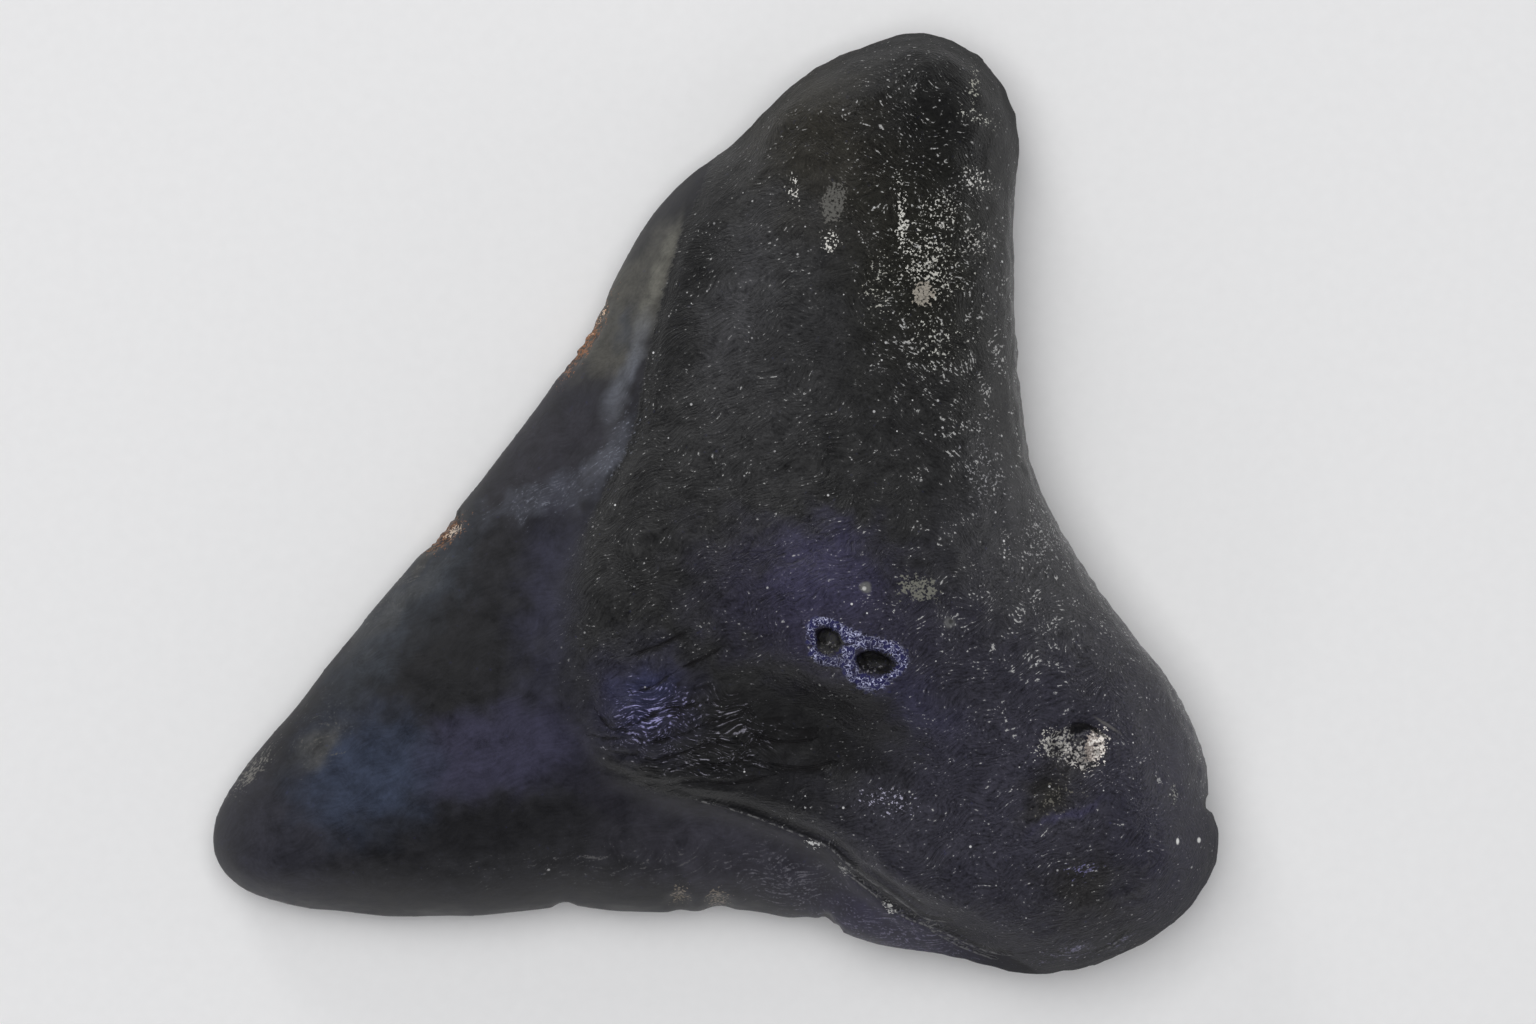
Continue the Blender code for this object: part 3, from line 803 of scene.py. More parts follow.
ROOT_TINTS = [
    ("olive_shoulder", (8.4, 28.6), (5.4, 9.0), 30, 2.4, 0.8, (46, 44, 38), 0.85),
    ("dark_top", (18.0, 31.8), (5.8, 7.0), 0, 2.4, 0.8, (26, 26, 25), 0.85),
    ("olive_speck_field", (16.4, 19.0), (5.0, 8.0), 0, 2.4, 0.8, (32, 32, 26), 0.8),
    ("grey_flank", (4.6, 12.0), (4.6, 11.0), -14, 2.4, 0.8, (52, 52, 53), 0.6),
    ("dark_by_enamel", (-4.2, 10.0), (1.5, 10.0), -18, 1.2, 0.7, (35, 35, 35), 0.7),
    ("violet_lobe", (24.0, -22.0), (14.0, 15.0), -20, 3.0, 0.8, (53, 52, 62), 0.85),
    ("violet_swelling", (8.6, -8.6), (9.0, 5.6), -20, 2.6, 0.6, (48, 46, 61), 0.85),
    ("violet_crown_of_swelling", (8.4, -5.2), (3.6, 3.4), 0, 1.6, 0.7, (55, 53, 75), 0.75),
    ("violet_below_openings", (15.4, -15.4), (4.4, 1.7), -38, 1.6, 0.8, (55, 54, 74), 0.6),
    # The next three are painted shade: in the hollow under the swelling, under the openings and in the crease
    ("shaded_hollow", (7.6, -17.6), (6.8, 4.0), -16, 1.8, 0.6, (37, 37, 37), 0.9),
    ("shade_under_openings", (11.0, -15.8), (4.4, 1.4), -26, 1.2, 0.7, (28, 27, 29), 0.8),
    ("crease_side_shade", (2.4, -22.6), (6.6, 1.7), -14, 1.2, 0.7, (29, 29, 30), 0.8),
    ("violet_fold", (-5.6, -15.6), (3.8, 3.6), -20, 1.6, 0.8, (48, 47, 66), 0.85),
    ("blue_fold_core", (-5.4, -15.0), (2.0, 1.8), 20, 1.2, 0.9, (50, 54, 82), 0.6),
    ("olive_low_hollow", (26.4, -22.8), (2.6, 1.6), 44, 1.2, 0.8, (44, 43, 37), 0.8),
    ("violet_smear", (28.0, -24.8), (2.5, 0.5), 24, 1.4, 0.9, (58, 56, 80), 0.6),
    ("right_flank", (25.6, -4.4), (5.0, 8.0), 28, 2.4, 0.7, (58, 58, 60), 0.7),
    ("violet_right_lobe", (36.4, -26.0), (4.0, 8.0), 4, 2.0, 0.7, (48, 47, 59), 0.75),
    ("olive_low_lobe", (29.2, -30.6), (3.4, 2.6), -20, 2.0, 0.8, (41, 40, 37), 0.75),
    ("dark_high_by_enamel", (-1.5, 20.4), (1.6, 6.6), -20, 1.2, 0.7, (29, 29, 29), 0.9),
    ("grey_ridge", (2.0, 16.0), (1.7, 6.6), -14, 1.6, 0.9, (64, 64, 66), 0.7),
]

# Tints of the hidden outer face
OUTER_TINTS = [
    ("outer_blue_tip", (-26.0, -20.0), (9.0, 5.0), 30, 2.4, 0.8, (52, 58, 72), 0.8),
    ("outer_violet_band", (-4.0, -8.0), (6.0, 16.0), 12, 3.0, 0.8, (48, 47, 60), 0.8),
    ("outer_dark_root", (22.0, 4.0), (7.0, 14.0), 10, 3.0, 0.8, (30, 30, 27), 0.8),
]

# Mineral crusts and chips, which break up into crumbs towards their edges
DEPOSITS = [
    ("left_opening_floor", (9.15, -10.9), (1.1, 1.0), 20, 0.3, 0.3, (58, 58, 56), 1.3),
    ("right_opening_floor", (12.8, -12.5), (1.6, 1.05), -8, 0.3, 0.3, (44, 44, 42), 1.3),
    ("left_opening_crumbs", (9.0, -11.4), (0.8, 0.5), 0, 0.4, 0.6, (130, 128, 130), 0.5),
    ("right_opening_crumbs", (12.3, -12.9), (1.1, 0.6), 0, 0.4, 0.6, (130, 128, 134), 0.5),
    ("pit_floor", (28.5, -19.3), (2.5, 1.6), -14, 0.9, 0.5, (92, 91, 94), 1.0),
    ("pit_left_crumbs", (27.0, -18.9), (1.6, 1.2), 0, 0.7, 0.6, (176, 174, 168), 0.78),
    ("pit_low_crumbs", (28.9, -20.0), (1.7, 1.1), -20, 0.7, 0.6, (204, 200, 194), 0.72),
    ("pit_cream", (30.0, -19.1), (0.9, 1.4), -12, 0.5, 0.4, (168, 158, 150), 1.15),
    ("pit_bright", (30.3, -19.1), (0.8, 1.5), -10, 0.5, 0.6, (240, 234, 226), 0.8),
    ("hollow_crumbs", (26.9, -23.2), (1.6, 1.1), 40, 1.0, 0.9, (100, 98, 90), 0.5),
    ("speck_cluster", (16.9, 18.6), (2.1, 3.2), 6, 1.3, 0.9, (192, 191, 182), 0.6),
    ("speck_left", (13.0, 17.2), (1.3, 2.4), 0, 1.0, 0.8, (170, 169, 160), 0.42),
    ("speck_core", (16.5, 16.5), (0.85, 0.95), 0, 0.6, 0.6, (152, 146, 135), 1.15),
    ("speck_trail", (14.9, 22.2), (0.5, 3.4), 3, 0.5, 0.7, (205, 204, 196), 0.7),
    ("speck_high", (17.8, 22.8), (1.8, 1.7), 0, 0.8, 0.8, (190, 189, 182), 0.5),
    ("speck_side", (20.6, 20.6), (1.3, 1.3), 0, 1.0, 0.8, (180, 179, 174), 0.52),
    ("speck_top", (20.8, 25.4), (1.6, 1.0), -30, 0.8, 0.8, (200, 199, 194), 0.56),
    ("top_line", (20.6, 32.8), (0.4, 2.0), 0, 0.4, 0.8, (160, 160, 150), 0.58),
    ("top_line_foot", (20.8, 30.5), (1.5, 0.5), -20, 0.4, 0.8, (180, 180, 172), 0.58),
    ("speck_foot", (17.8, 12.8), (2.3, 1.9), -30, 1.0, 0.8, (186, 186, 178), 0.42),
    ("grey_patch", (9.5, 23.7), (0.95, 1.7), -16, 0.5, 0.5, (92, 91, 87), 1.1),
    ("grey_patch_low", (9.2, 20.7), (0.7, 1.0), 0, 0.6, 0.7, (214, 212, 205), 0.6),
    ("small_grey_patch", (6.3, 24.9), (0.4, 1.2), 10, 0.5, 0.7, (214, 212, 205), 0.62),
    ("olive_blotch", (16.0, -6.7), (1.7, 1.0), -16, 0.9, 0.6, (110, 110, 102), 1.0),
    ("flank_patch", (26.2, -3.2), (2.6, 2.2), 30, 1.2, 0.9, (150, 150, 150), 0.46),
    ("high_flank_patch", (21.4, 2.4), (1.8, 2.6), 10, 1.0, 0.9, (140, 140, 142), 0.46),
    ("low_strokes", (13.8, -23.6), (2.6, 1.0), -6, 0.8, 0.8, (160, 158, 176), 0.46),
    ("tan_nick", (-2.8, -31.2), (0.7, 1.0), -20, 0.7, 0.7, (118, 109, 97), 0.75),
    ("cream_nick", (0.2, -31.5), (1.0, 0.9), 20, 0.7, 0.7, (120, 111, 99), 0.75),
    ("crease_chip", (7.9, -27.0), (0.62, 0.3), -24, 0.3, 0.6, (200, 200, 198), 0.8),
    ("second_crease_chip", (10.2, -29.1), (0.3, 0.5), 30, 0.3, 0.6, (150, 150, 148), 0.75),
    ("third_crease_chip", (13.9, -32.1), (0.7, 0.28), -45, 0.3, 0.5, (178, 178, 175), 0.8),
    ("lobe_chip", (35.1, -21.9), (0.5, 0.22), -50, 0.3, 0.6, (150, 150, 150), 0.75),
    ("second_lobe_chip", (36.4, -23.1), (0.22, 0.8), 4, 0.3, 0.6, (140, 140, 136), 0.75),
]

# Pale scuffs on the enamel, brushed out along its grain, and a painted sheen along the tip's edge
SCUFFS = [
    ("edge_shine", (-36.9, -21.2), (2.8, 0.8), 47, 0.6, 0.8, (112, 110, 105), 0.9),
    ("tip_scuffs", (-31.2, -18.4), (3.2, 2.4), 36, 0.8, 0.9, (84, 83, 79), 0.46),
    ("upper_edge_scuffs", (-26.2, -7.0), (6.0, 1.4), 48, 0.8, 0.9, (84, 84, 82), 0.5),
    ("pale_band_scuffs", (-8.0, 4.0), (1.3, 4.0), -26, 0.8, 0.8, (112, 116, 126), 0.5),
    ("brushed_scuffs", (-13.2, 0.6), (5.0, 1.6), 20, 0.8, 0.8, (100, 103, 112), 0.5),
    ("low_scuffs", (-6.0, -28.6), (14.0, 1.5), 2, 0.8, 0.8, (88, 87, 88), 0.45),
    ("shoulder_scuffs", (6.0, -30.0), (5.0, 2.6), -24, 0.8, 0.8, (96, 95, 102), 0.66),
    ("low_lip_scuffs", (15.4, -34.8), (7.0, 2.2), -22, 0.8, 0.8, (100, 98, 116), 0.68),
    ("lobe_rim_scuffs", (29.6, -35.4), (4.8, 0.8), 14, 0.6, 0.8, (118, 116, 138), 0.66),
    ("violet_lobe_scuffs", (29.0, -28.9), (1.6, 0.8), 10, 0.6, 0.8, (124, 122, 165), 0.62),
]

# Small spots and scratches that lie over the crusts, with a painted shadow in the pit's notch and two painted
# glints on the lower lobe
LATE_SPOTS = [
    ("pit_shadow", (28.7, -17.8), (0.9, 0.34), 16, 0.2, 0.4, (16, 16, 16), 0.9),
    ("pit_crack", (30.3, -18.05), (1.0, 0.14), -34, 0.1, 0.4, (18, 18, 18), 0.85),
    ("pit_upper_scratch", (31.0, -17.5), (1.1, 0.12), -32, 0.1, 0.5, (96, 94, 92), 0.7),
    ("round_spot", (11.9, -6.6), (0.44, 0.44), 0, 0.15, 0.35, (104, 104, 101), 0.8),
    ("round_spot_light", (11.8, -6.7), (0.16, 0.16), 0, 0.0, 0.4, (196, 196, 192), 0.8),
    ("ring_spot", (18.5, -9.4), (0.44, 0.40), 0, 0.15, 0.4, (96, 96, 96), 0.8),
    ("ring_spot_middle", (18.6, -9.3), (0.2, 0.18), 0, 0.0, 0.4, (46, 46, 46), 0.8),
    ("lobe_glint", (36.6, -26.7), (0.12, 0.24), 0, 0.0, 0.4, (235, 235, 232), 0.95),
    ("second_lobe_glint", (38.4, -26.7), (0.14, 0.2), 0, 0.0, 0.4, (235, 235, 232), 0.95),
]

# Rust in the chips of the upper cutting edge
RUST_CHIPS = [
    ("upper_rust", (-10.4, 13.2), (3.6, 0.8), 60, 0.8, 0.7, (140, 96, 66), 0.95),
    ("upper_rust_core", (-9.5, 14.8), (1.6, 0.5), 60, 0.5, 0.6, (226, 196, 168), 0.75),
    ("lower_rust", (-21.8, -2.6), (2.1, 0.9), 34, 0.7, 0.7, (120, 86, 62), 0.95),
    ("lower_rust_core", (-20.9, -2.3), (0.9, 0.35), 34, 0.4, 0.6, (200, 184, 166), 0.75),
]


# Every patch has its middle at this height, and reaches this far up and down
PATCH_MIDDLE = 10.0
PATCH_REACH = 30.0

# Noises: lumps to a millimetre, detail and roughness
FINE_NOISE = (5.0, 2.0, 0.6)
CRUMB_NOISE = (2.4, 2.0, 0.6)
MOTTLE_NOISE = (0.6, 3.0, 0.6)

# How edges and wrinkles stray: waves to a millimetre, reach in millimetres, and detail
BROAD_WANDER = (0.4, 3.0, 2.0)
FINE_WANDER = (1.8, 2.0, 2.0)
WRINKLE_WANDER = (0.35, 2.6, 0.0)

# Wrinkles: length and width in millimetres, and their run in degrees
ROOT_WRINKLES = (0.75, 0.2, 24)
RIGHT_ROOT_WRINKLES = (0.75, 0.2, -30)
FOLD_WRINKLES = (1.3, 0.17, -12)
VIOLET_FOLD_WRINKLES = (1.2, 0.17, 16)
ENAMEL_BRUSHING = (2.6, 0.24, 20)

# Dots on the root and stray dots all over, partly mineral specks and partly painted glints: spacing and size
# in millimetres
ROOT_DOTS = (0.6, 0.1)
STRAY_DOTS = (2.2, 0.13)

# Fine lines, the dark ones being painted shade in the crease and the fold's grooves: how far to the root's
# side of the drawn line, and half width
PALE_CREASE_LINE = (0.0, 0.1)
CREASE_SHADE_LINE = (0.26, 0.2)
FOLD_GROOVE_SHADE_LINE = (0.0, 0.11)

# How far the enamel's border fades to either side, sharp and where it is blurred, and how far crumbs fray it
SHARP_BORDER = 0.2
BLURRED_BORDER = 2.4
BORDER_FRAY = 0.8

# Height of the fine relief, and the gloss of the whole tooth
RELIEF = 0.12 * MM
GLOSS = 0.36

# Colours of the finish's layers, painted shade, glints and highlights among them
DARK_ENAMEL = shade(28, 28, 30)
GREY_ENAMEL = shade(46, 46, 49)
DARK_ROOT = shade(33, 33, 33)
GREY_ROOT = shade(50, 50, 50)
HOLLOW_SHADE = shade(18, 18, 20)
SOFT_HOLLOW_SHADE = shade(34, 33, 33)
RIM_SHADE = shade(16, 16, 17)
WORN_AND_GLINTING_GREY = shade(176, 176, 174)
FOLD_GLINT = shade(146, 144, 156)
VIOLET_FOLD_GLINT = shade(158, 155, 205)
SHADED_RING_GAP = shade(46, 46, 86)
RING_LUMP_HIGHLIGHT = shade(214, 217, 255)
GROOVE_SHADE = shade(15, 15, 17)
PALE_LINE = shade(108, 108, 108)
ROOT_DOT = shade(215, 215, 215)
STRAY_DOT = shade(225, 225, 225)


class FossilFinish:
    """Dark phosphate: smooth enamel on the blade, wrinkled bone on the root, tints, flecks and crusts, and
    painted glints and shade.
    """

    def __init__(self):
        self.material = bpy.data.materials.new("sea_worn_fossil")
        self.material.use_nodes = True
        self.material.node_tree.nodes.clear()
        self.bench = Bench(self.material.node_tree)
        self.patch, self.flecks, self.streaks = patch_group(), fleck_group(), streak_group()
        self.marking, self.line = marks_group(), line_group()
        coordinates = self.bench.add("ShaderNodeTexCoord")
        self.place = self.bench.vector("SCALE", coordinates.outputs["Object"], 1 / MM)
        self.inner = self.noted("inner_face")
        self.hollow = self.noted("hollowness")
        self.broad_wander, self.fine_wander = self.wander(*BROAD_WANDER), self.wander(*FINE_WANDER)
        self.bent_place = self.bench.vector("ADD", self.place, self.wander(*WRINKLE_WANDER))
        self.fine = self.bench.noise(self.place, *FINE_NOISE)
        self.crumbs = self.bench.noise(self.place, *CRUMB_NOISE)
        self.mottle = self.bench.noise(self.place, *MOTTLE_NOISE)
        self.grain = self.bench.blend(self.fine, self.crumbs, 0.35)

    def noted(self, name):
        """A value that was kept on the surface."""
        return self.bench.add("ShaderNodeAttribute", attribute_name=name).outputs["Fac"]

    def wander(self, scale, reach, detail):
        """Noise with a direction, about nought, that frays an edge or bends a wrinkle."""
        noise = self.bench.add("ShaderNodeTexNoise", {"Vector": self.place, "Scale": scale, "Detail": detail})
        centred = self.bench.vector("SUBTRACT", noise.outputs["Color"], (0.5, 0.5, 0.5))
        return self.bench.vector("SCALE", centred, reach)

    def centred(self, noise):
        """Noise about nought."""
        return self.bench.math("SUBTRACT", noise, 0.5)

    def group(self, group, output, **sockets):
        """One use of a group, and its output."""
        node = self.bench.add("ShaderNodeGroup", node_tree=group)
        for name, value in sockets.items():
            self.bench.feed(node.inputs[name], value)
        return node.outputs[output]

    def patch_mask(self, centre, size, turn, ragged, softness, strength, wander):
        """A ragged oval."""
        return self.group(self.patch, "Mask", Place=self.place, Wander=wander, Ragged=[ragged] * 3,
                          Centre=(*centre, PATCH_MIDDLE), Turn=math.radians(-turn),
                          Size=(*size, PATCH_REACH), Softness=softness, Strength=strength)

    def tinted(self, colour, tints, within, wander, grain=None, spread=0.05):
        """The colour with each tint laid over it, inside a mask, broken into crumbs if a grain is given."""
        bare = colour
        for _, centre, size, turn, ragged, softness, tint, strength in tints:
            mask = self.patch_mask(centre, size, turn, ragged, softness, strength, wander)
            if grain:
                mask = self.marks(grain, mask, spread)
            colour = self.bench.mix(mask, colour, shade(*tint))
        return self.bench.mix(within, bare, colour)

    def covered(self, colour, mask, strength, cover):
        """The colour under another, where a mask shows, at a strength."""
        return self.bench.mix(self.bench.times(mask, strength), colour, cover)

    def fleck_mask(self, spacing, size, amount):
        """Dots scattered over the surface."""
        return self.group(self.flecks, "Mask", Place=self.place, Spacing=spacing, Size=size, Amount=amount)

    def wrinkles(self, length, width, turn):
        """The height of wrinkles that run in one direction."""
        return self.group(self.streaks, "Height", Place=self.bent_place, Length=length, Width=width,
                          Turn=math.radians(turn))

    def marks(self, grain, density, spread=0.07):
        """Worn marks, crumbs and painted glints: none at density 0, and nearly all of the surface at 1."""
        return self.group(self.marking, "Mask", Grain=grain, Density=density, Spread=spread)

    def line_mask(self, name, offset, width):
        """Fine lines, moved sideways by an offset."""
        return self.group(self.line, "Mask", Side=self.noted(name + "_side"), Gap=self.noted(name + "_gap"),
                          Offset=offset, Width=width)

    def find_the_parts(self):
        """Where the root, the fold, its violet part and the busy side are. The enamel's border is frayed."""
        bench = self.bench
        reach = bench.scaled(self.noted("blurred_border"), BLURRED_BORDER, SHARP_BORDER)
        frayed = bench.scaled(self.centred(self.crumbs), BORDER_FRAY, self.noted("into_root"))
        self.root = bench.ramp(frayed, bench.times(reach, -1.0), reach)
        self.fold, self.violet = self.noted("fold_area"), self.noted("violet_area")
        self.busy = bench.times(self.noted("busy_area"), self.root)

    def stain(self):
        """The ground colours of enamel and root, with their stains and tints."""
        bench = self.bench
        enamel = bench.mix(self.mottle, DARK_ENAMEL, GREY_ENAMEL)
        root = bench.mix(self.mottle, DARK_ROOT, GREY_ROOT)
        enamel = self.tinted(enamel, ENAMEL_TINTS, self.inner, self.broad_wander)
        root = self.tinted(root, ROOT_TINTS, self.inner, self.broad_wander)
        colour = bench.mix(self.root, enamel, root)
        return self.tinted(colour, OUTER_TINTS, bench.math("SUBTRACT", 1.0, self.inner), self.broad_wander)

    def find_the_wrinkles(self):
        """The heights of the root's wrinkles, which run otherwise in the fold, and of the brushed enamel."""
        bench = self.bench
        running = bench.blend(self.wrinkles(*ROOT_WRINKLES), self.wrinkles(*RIGHT_ROOT_WRINKLES),
                          self.noted("right_side"))
        folding = bench.blend(self.wrinkles(*FOLD_WRINKLES), self.wrinkles(*VIOLET_FOLD_WRINKLES),
                              self.violet)
        brushing = self.wrinkles(*ENAMEL_BRUSHING)
        across = bench.blend(running, folding, self.fold)
        self.strokes = bench.blend(across, self.fine, bench.scaled(self.fold, -0.2, 0.35))
        self.brushed = bench.blend(brushing, self.fine, 0.35)

    def shade_the_wrinkles(self, colour):
        """Darker and lighter with the mottle and the enamel's brushing, painted light and shade on the root's
        wrinkles, and painted shade in the hollows.
        """
        bench = self.bench
        enamel_tone = bench.scaled(self.mottle, 1.5, bench.scaled(self.brushed, 1.3, -0.4))
        # The root's wrinkle crests are lighter and their troughs darker: painted light and shade
        root_tone_and_shading = bench.scaled(self.mottle, 0.9, bench.scaled(self.strokes, 3.4, -1.15))
        colour = bench.mix(1.0, colour, bench.blend(enamel_tone, root_tone_and_shading, self.root), "MULTIPLY")
        # Painted shade in the hollows
        return self.covered(colour, bench.ramp(self.hollow, 0.1, 0.8), 0.4, HOLLOW_SHADE)

    def wear_and_glint(self, colour):
        """Pale marks on the root's crests, partly worn, partly painted glints; closer in clumps, on the busy
        side, top and rim.
        """
        bench = self.bench
        clumps = bench.ramp(self.mottle, 0.5, 0.6)
        self.busier = bench.times(self.busy, bench.scaled(clumps, 0.3, 0.08))
        density = bench.scaled(clumps, 0.08, bench.math("ADD", self.busier, 0.06))
        # On the steep right rim the marks also stand for a painted highlight
        for name, share in (("top_area", 0.26), ("worn_and_glinting_rim", 0.36)):
            density = bench.math("MAXIMUM", density, bench.times(self.noted(name), share))
        worn = bench.times(self.marks(self.strokes, density, 0.06), self.root)
        # Worn grey marks that are also painted glints on the wrinkle crests
        return self.covered(colour, worn, 0.85, WORN_AND_GLINTING_GREY)

    def glint_the_fold(self, colour):
        """Painted glints on the crests in the fold, more violet in its upper left part."""
        bench = self.bench
        density = bench.times(self.fold, bench.scaled(self.violet, 0.14, 0.4))
        self.fold_glints = self.marks(self.strokes, density, 0.1)
        crests = bench.mix(self.violet, FOLD_GLINT, VIOLET_FOLD_GLINT)
        return bench.mix(bench.times(self.fold_glints, bench.times(self.fold, 0.9)), colour, crests)

    def crumple_the_ring(self, colour):
        """The bluish lip round the openings, with painted highlights on its lumps and painted shade in the
        gaps between them.
        """
        bench = self.bench
        ring = bench.scaled(self.centred(self.crumbs), 1.6, self.noted("opening_lip"))
        self.ring = bench.times(bench.ramp(ring, 0.25, 0.75), bench.ramp(self.mottle, 0.4, 0.52, 0.5, 1.0))
        lumps = bench.ramp(bench.math("ABSOLUTE", self.centred(self.crumbs)), 0.02, 0.055, 1.0, 0.0)
        self.lumps = bench.times(lumps, bench.ramp(self.fine, 0.42, 0.54, 0.3, 1.0))
        # Painted highlights on the lumps and painted shade between them
        return self.covered(colour, self.ring, 0.92, bench.mix(self.lumps, SHADED_RING_GAP, RING_LUMP_HIGHLIGHT))

    def draw_the_lines(self, colour):
        """Painted shade along the fold's grooves and in the crease, and a broken pale worn line along the
        crease.
        """
        bench = self.bench
        self.pale_line = self.line_mask("crease_line", *PALE_CREASE_LINE)
        crease_shade_line = self.line_mask("crease_line", *CREASE_SHADE_LINE)
        self.shaded_fold_groove = self.line_mask("shaded_fold_groove", *FOLD_GROOVE_SHADE_LINE)
        broken = bench.ramp(self.crumbs, 0.42, 0.56)
        broken_fold_shade = bench.times(self.shaded_fold_groove, bench.scaled(broken, -0.7, 1.0))
        colour = self.covered(colour, bench.math("MAXIMUM", broken_fold_shade, crease_shade_line), 0.7, GROOVE_SHADE)
        return self.covered(colour, bench.times(self.pale_line, broken), 0.8, PALE_LINE)

    def scatter_dots(self, colour):
        """Pale dots on the root, partly mineral specks and partly painted glints, more on its busy side, and
        a few strays all over.
        """
        bench = self.bench
        dots = self.fleck_mask(*ROOT_DOTS, bench.math("ADD", self.busier, 0.04))
        dots = bench.times(dots, self.root)
        stray = self.fleck_mask(*STRAY_DOTS, bench.scaled(self.root, 0.2, 0.08))
        colour = self.covered(colour, dots, 0.95, ROOT_DOT)
        return self.covered(colour, stray, 0.95, STRAY_DOT)

    def crust(self, colour):
        """Scuffs, mineral crusts, small spots and rust, and then painted shade in the hollows and on the
        shaded rim.
        """
        bench = self.bench
        colour = self.tinted(colour, SCUFFS, self.inner, self.fine_wander, self.brushed, spread=0.14)
        gritty = bench.times(self.inner, bench.ramp(self.fine, 0.36, 0.56, 0.5, 1.0))
        colour = self.tinted(colour, DEPOSITS, gritty, self.fine_wander, self.grain)
        colour = self.tinted(colour, LATE_SPOTS, self.inner, self.fine_wander)
        colour = self.tinted(colour, RUST_CHIPS, 1.0, self.fine_wander, self.grain)
        colour = self.covered(colour, bench.ramp(self.hollow, 0.15, 0.9), 0.5, SOFT_HOLLOW_SHADE)
        return self.covered(colour, self.noted("shaded_rim"), 0.3, RIM_SHADE)

    def roughness(self):
        """Rougher enamel than root, uneven with the mottle, and dull on the shaded rim."""
        bench = self.bench
        roughness = bench.blend(0.52, 0.38, self.root)
        roughness = bench.scaled(self.centred(self.mottle), 0.4, roughness)
        return bench.scaled(self.noted("shaded_rim"), 0.4, roughness)

    def relief(self):
        """Fine relief: wrinkles, the fold's crests, the ring's lumps and the fine lines."""
        bench = self.bench
        skin = bench.times(self.strokes, bench.scaled(self.root, 0.94, 0.06))
        skin = bench.scaled(self.fold_glints, bench.times(self.fold, 0.4), skin)
        skin = bench.scaled(self.lumps, bench.times(self.ring, 0.8), skin)
        skin = bench.scaled(self.shaded_fold_groove, -0.5, skin)
        skin = bench.scaled(self.pale_line, 0.4, skin)
        return bench.add("ShaderNodeBump", {"Strength": 1.0, "Distance": RELIEF, "Height": skin}).outputs[0]

    def build(self):
        """The material, in layers from the ground colour up."""
        bench = self.bench
        self.find_the_parts()
        colour = self.stain()
        self.find_the_wrinkles()
        for layer in (self.shade_the_wrinkles, self.wear_and_glint, self.glint_the_fold, self.crumple_the_ring,
                      self.draw_the_lines, self.scatter_dots, self.crust):
            colour = layer(colour)
        shader = bench.add("ShaderNodeBsdfPrincipled", {
            "Base Color": colour, "Roughness": self.roughness(), "Normal": self.relief(),
            "Metallic": 0.0, "IOR": 1.5, "Specular IOR Level": GLOSS})
        bench.feed(bench.add("ShaderNodeOutputMaterial").inputs["Surface"], shader.outputs[0])
        return self.material


# Studio: the floor's width in metres, its grains to a metre and two tones, and the sky from low to overhead
FLOOR_WIDTH = 4.0
FLOOR_GRAIN = 900.0
FLOOR_TONES = [(0.9, 0.9, 0.895, 1), (0.94, 0.94, 0.935, 1)]
SKY_TONES = [(1.3, 1.3, 1.32, 1), (0.13, 0.13, 0.145, 1)]
SKY_HEIGHTS = (0.02, 0.28)

# Lights: name, place and width in metres, power in watts, and whether they leave a highlight
LIGHTS = [
    ("overhead_light", (-0.06, 0.1, 0.75), 0.7, 4.5, False),
    ("far_light", (-0.30, 0.60, 0.36), 0.22, 0.65, True),
    ("right_light", (0.70, 0.10, 0.20), 0.22, 0.4, True),
    ("near_light", (-0.22, -0.66, 0.30), 0.22, 0.3, False),
]
LIT_POINT = Vector((0, 0, 0.01))

# Camera: the photograph's width in pixels and what one shows, the point aimed at in millimetres, and the lens
PICTURE_WIDTH = 1536
PIXEL = 0.08 * MM
AIM = (4.28, -0.72, 5.0)
CAMERA_DISTANCE = 0.6
SENSOR_WIDTH = 36.0


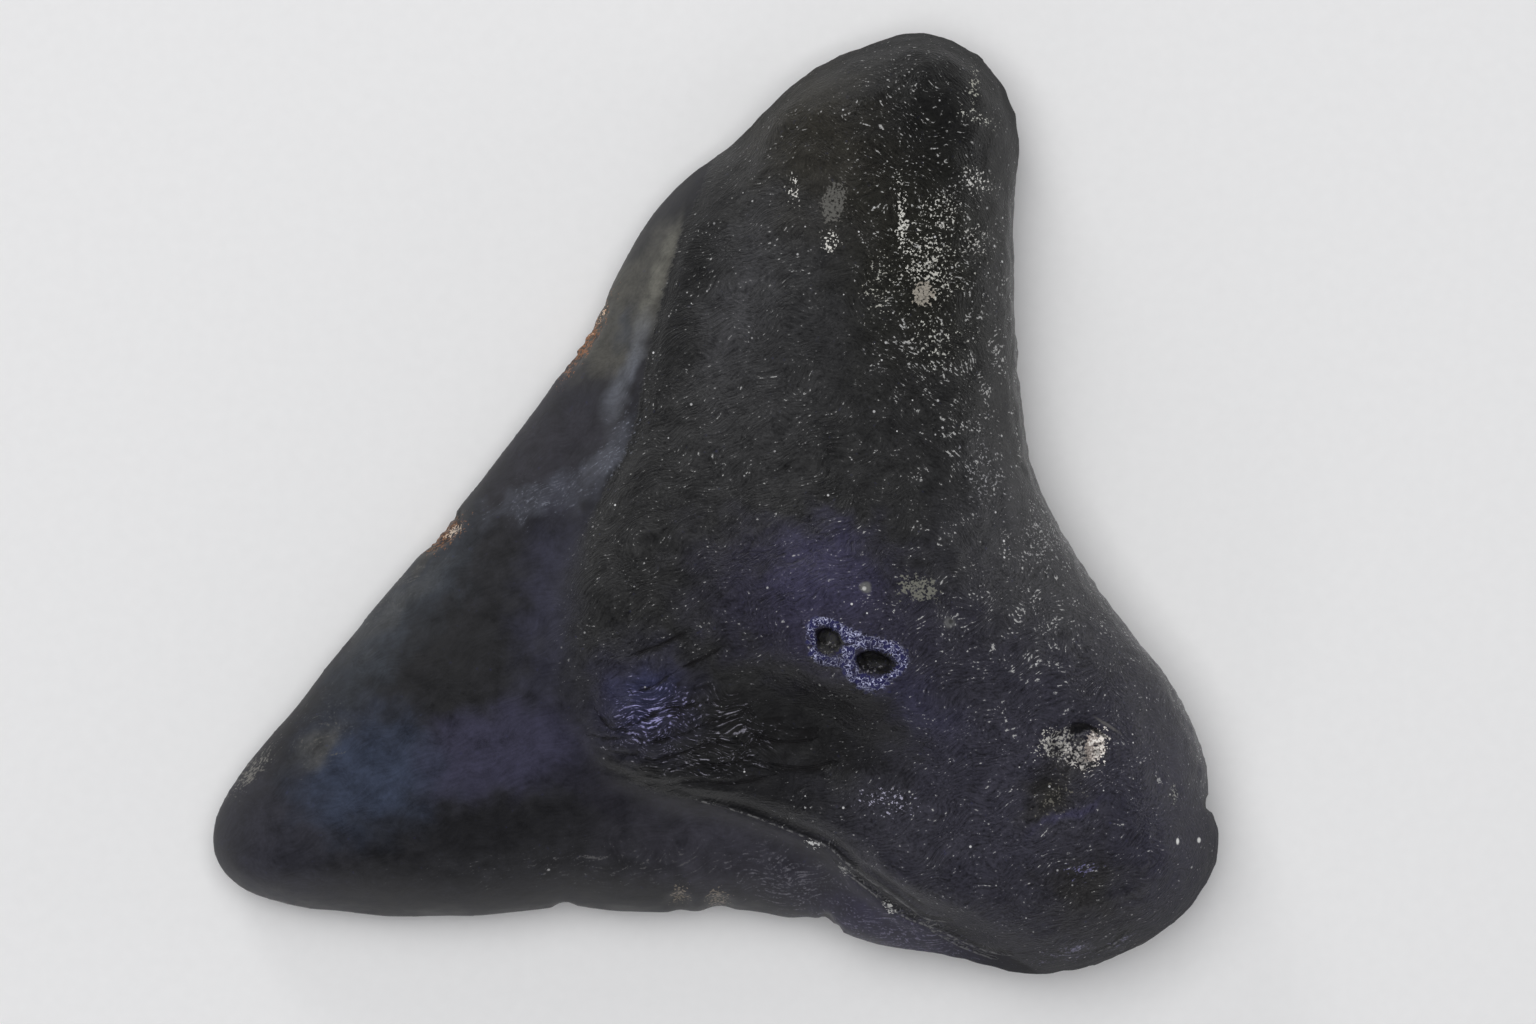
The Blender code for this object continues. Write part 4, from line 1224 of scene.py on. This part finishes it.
def floor_finish():
    """Matt off-white card."""
    material = bpy.data.materials.new("pale_card")
    material.use_nodes = True
    bench = Bench(material.node_tree)
    shader = material.node_tree.nodes["Principled BSDF"]
    place = bench.add("ShaderNodeTexCoord").outputs["Object"]
    tone = bench.mix(bench.noise(place, FLOOR_GRAIN, 3.0), *FLOOR_TONES)
    bench.feed(shader.inputs["Base Color"], tone)
    bench.feed(shader.inputs["Roughness"], 0.85)
    return material


def soft_light(name, place, width, power, highlight):
    """A square soft light turned to the tooth. One that leaves no highlight shines as if polarised."""
    deselect_all()
    bpy.ops.object.light_add(type="AREA", location=place)
    light = bpy.context.object
    light.name = name
    light.data.size = width
    light.data.energy = power
    light.rotation_mode = "QUATERNION"
    light.rotation_quaternion = (LIT_POINT - Vector(place)).to_track_quat("-Z", "Y")
    light.visible_camera = False
    light.visible_glossy = highlight


def build_sky():
    """A sky that is brighter near the horizon than overhead."""
    world = bpy.data.worlds.new("studio")
    bpy.context.scene.world = world
    world.use_nodes = True
    bench = Bench(world.node_tree)
    direction = bench.add("ShaderNodeTexCoord").outputs["Generated"]
    height = bench.add("ShaderNodeSeparateXYZ", {0: direction}).outputs["Z"]
    sky = bench.mix(bench.ramp(height, *SKY_HEIGHTS), *SKY_TONES)
    bench.feed(world.node_tree.nodes["Background"].inputs["Color"], sky)
    bench.feed(world.node_tree.nodes["Background"].inputs["Strength"], 1.0)


def build_studio():
    """The pale floor, the lights and the sky."""
    deselect_all()
    bpy.ops.mesh.primitive_plane_add(size=FLOOR_WIDTH)
    floor = bpy.context.object
    floor.name = "floor"
    floor.data.materials.append(floor_finish())
    for light in LIGHTS:
        soft_light(*light)
    build_sky()
    bpy.context.scene.view_settings.view_transform = "Standard"


def place_camera():
    """Straight above, with a long lens, framed as in the photograph."""
    aim = Vector([value * MM for value in AIM])
    deselect_all()
    bpy.ops.object.camera_add(location=aim + Vector((0, 0, CAMERA_DISTANCE)), rotation=(0, 0, 0))
    camera = bpy.context.object
    camera.name = "camera"
    camera.data.sensor_width = SENSOR_WIDTH
    camera.data.lens = SENSOR_WIDTH * CAMERA_DISTANCE / (PICTURE_WIDTH * PIXEL)
    camera.data.clip_start = 0.05
    bpy.context.scene.camera = camera


make_tooth()
build_studio()
place_camera()
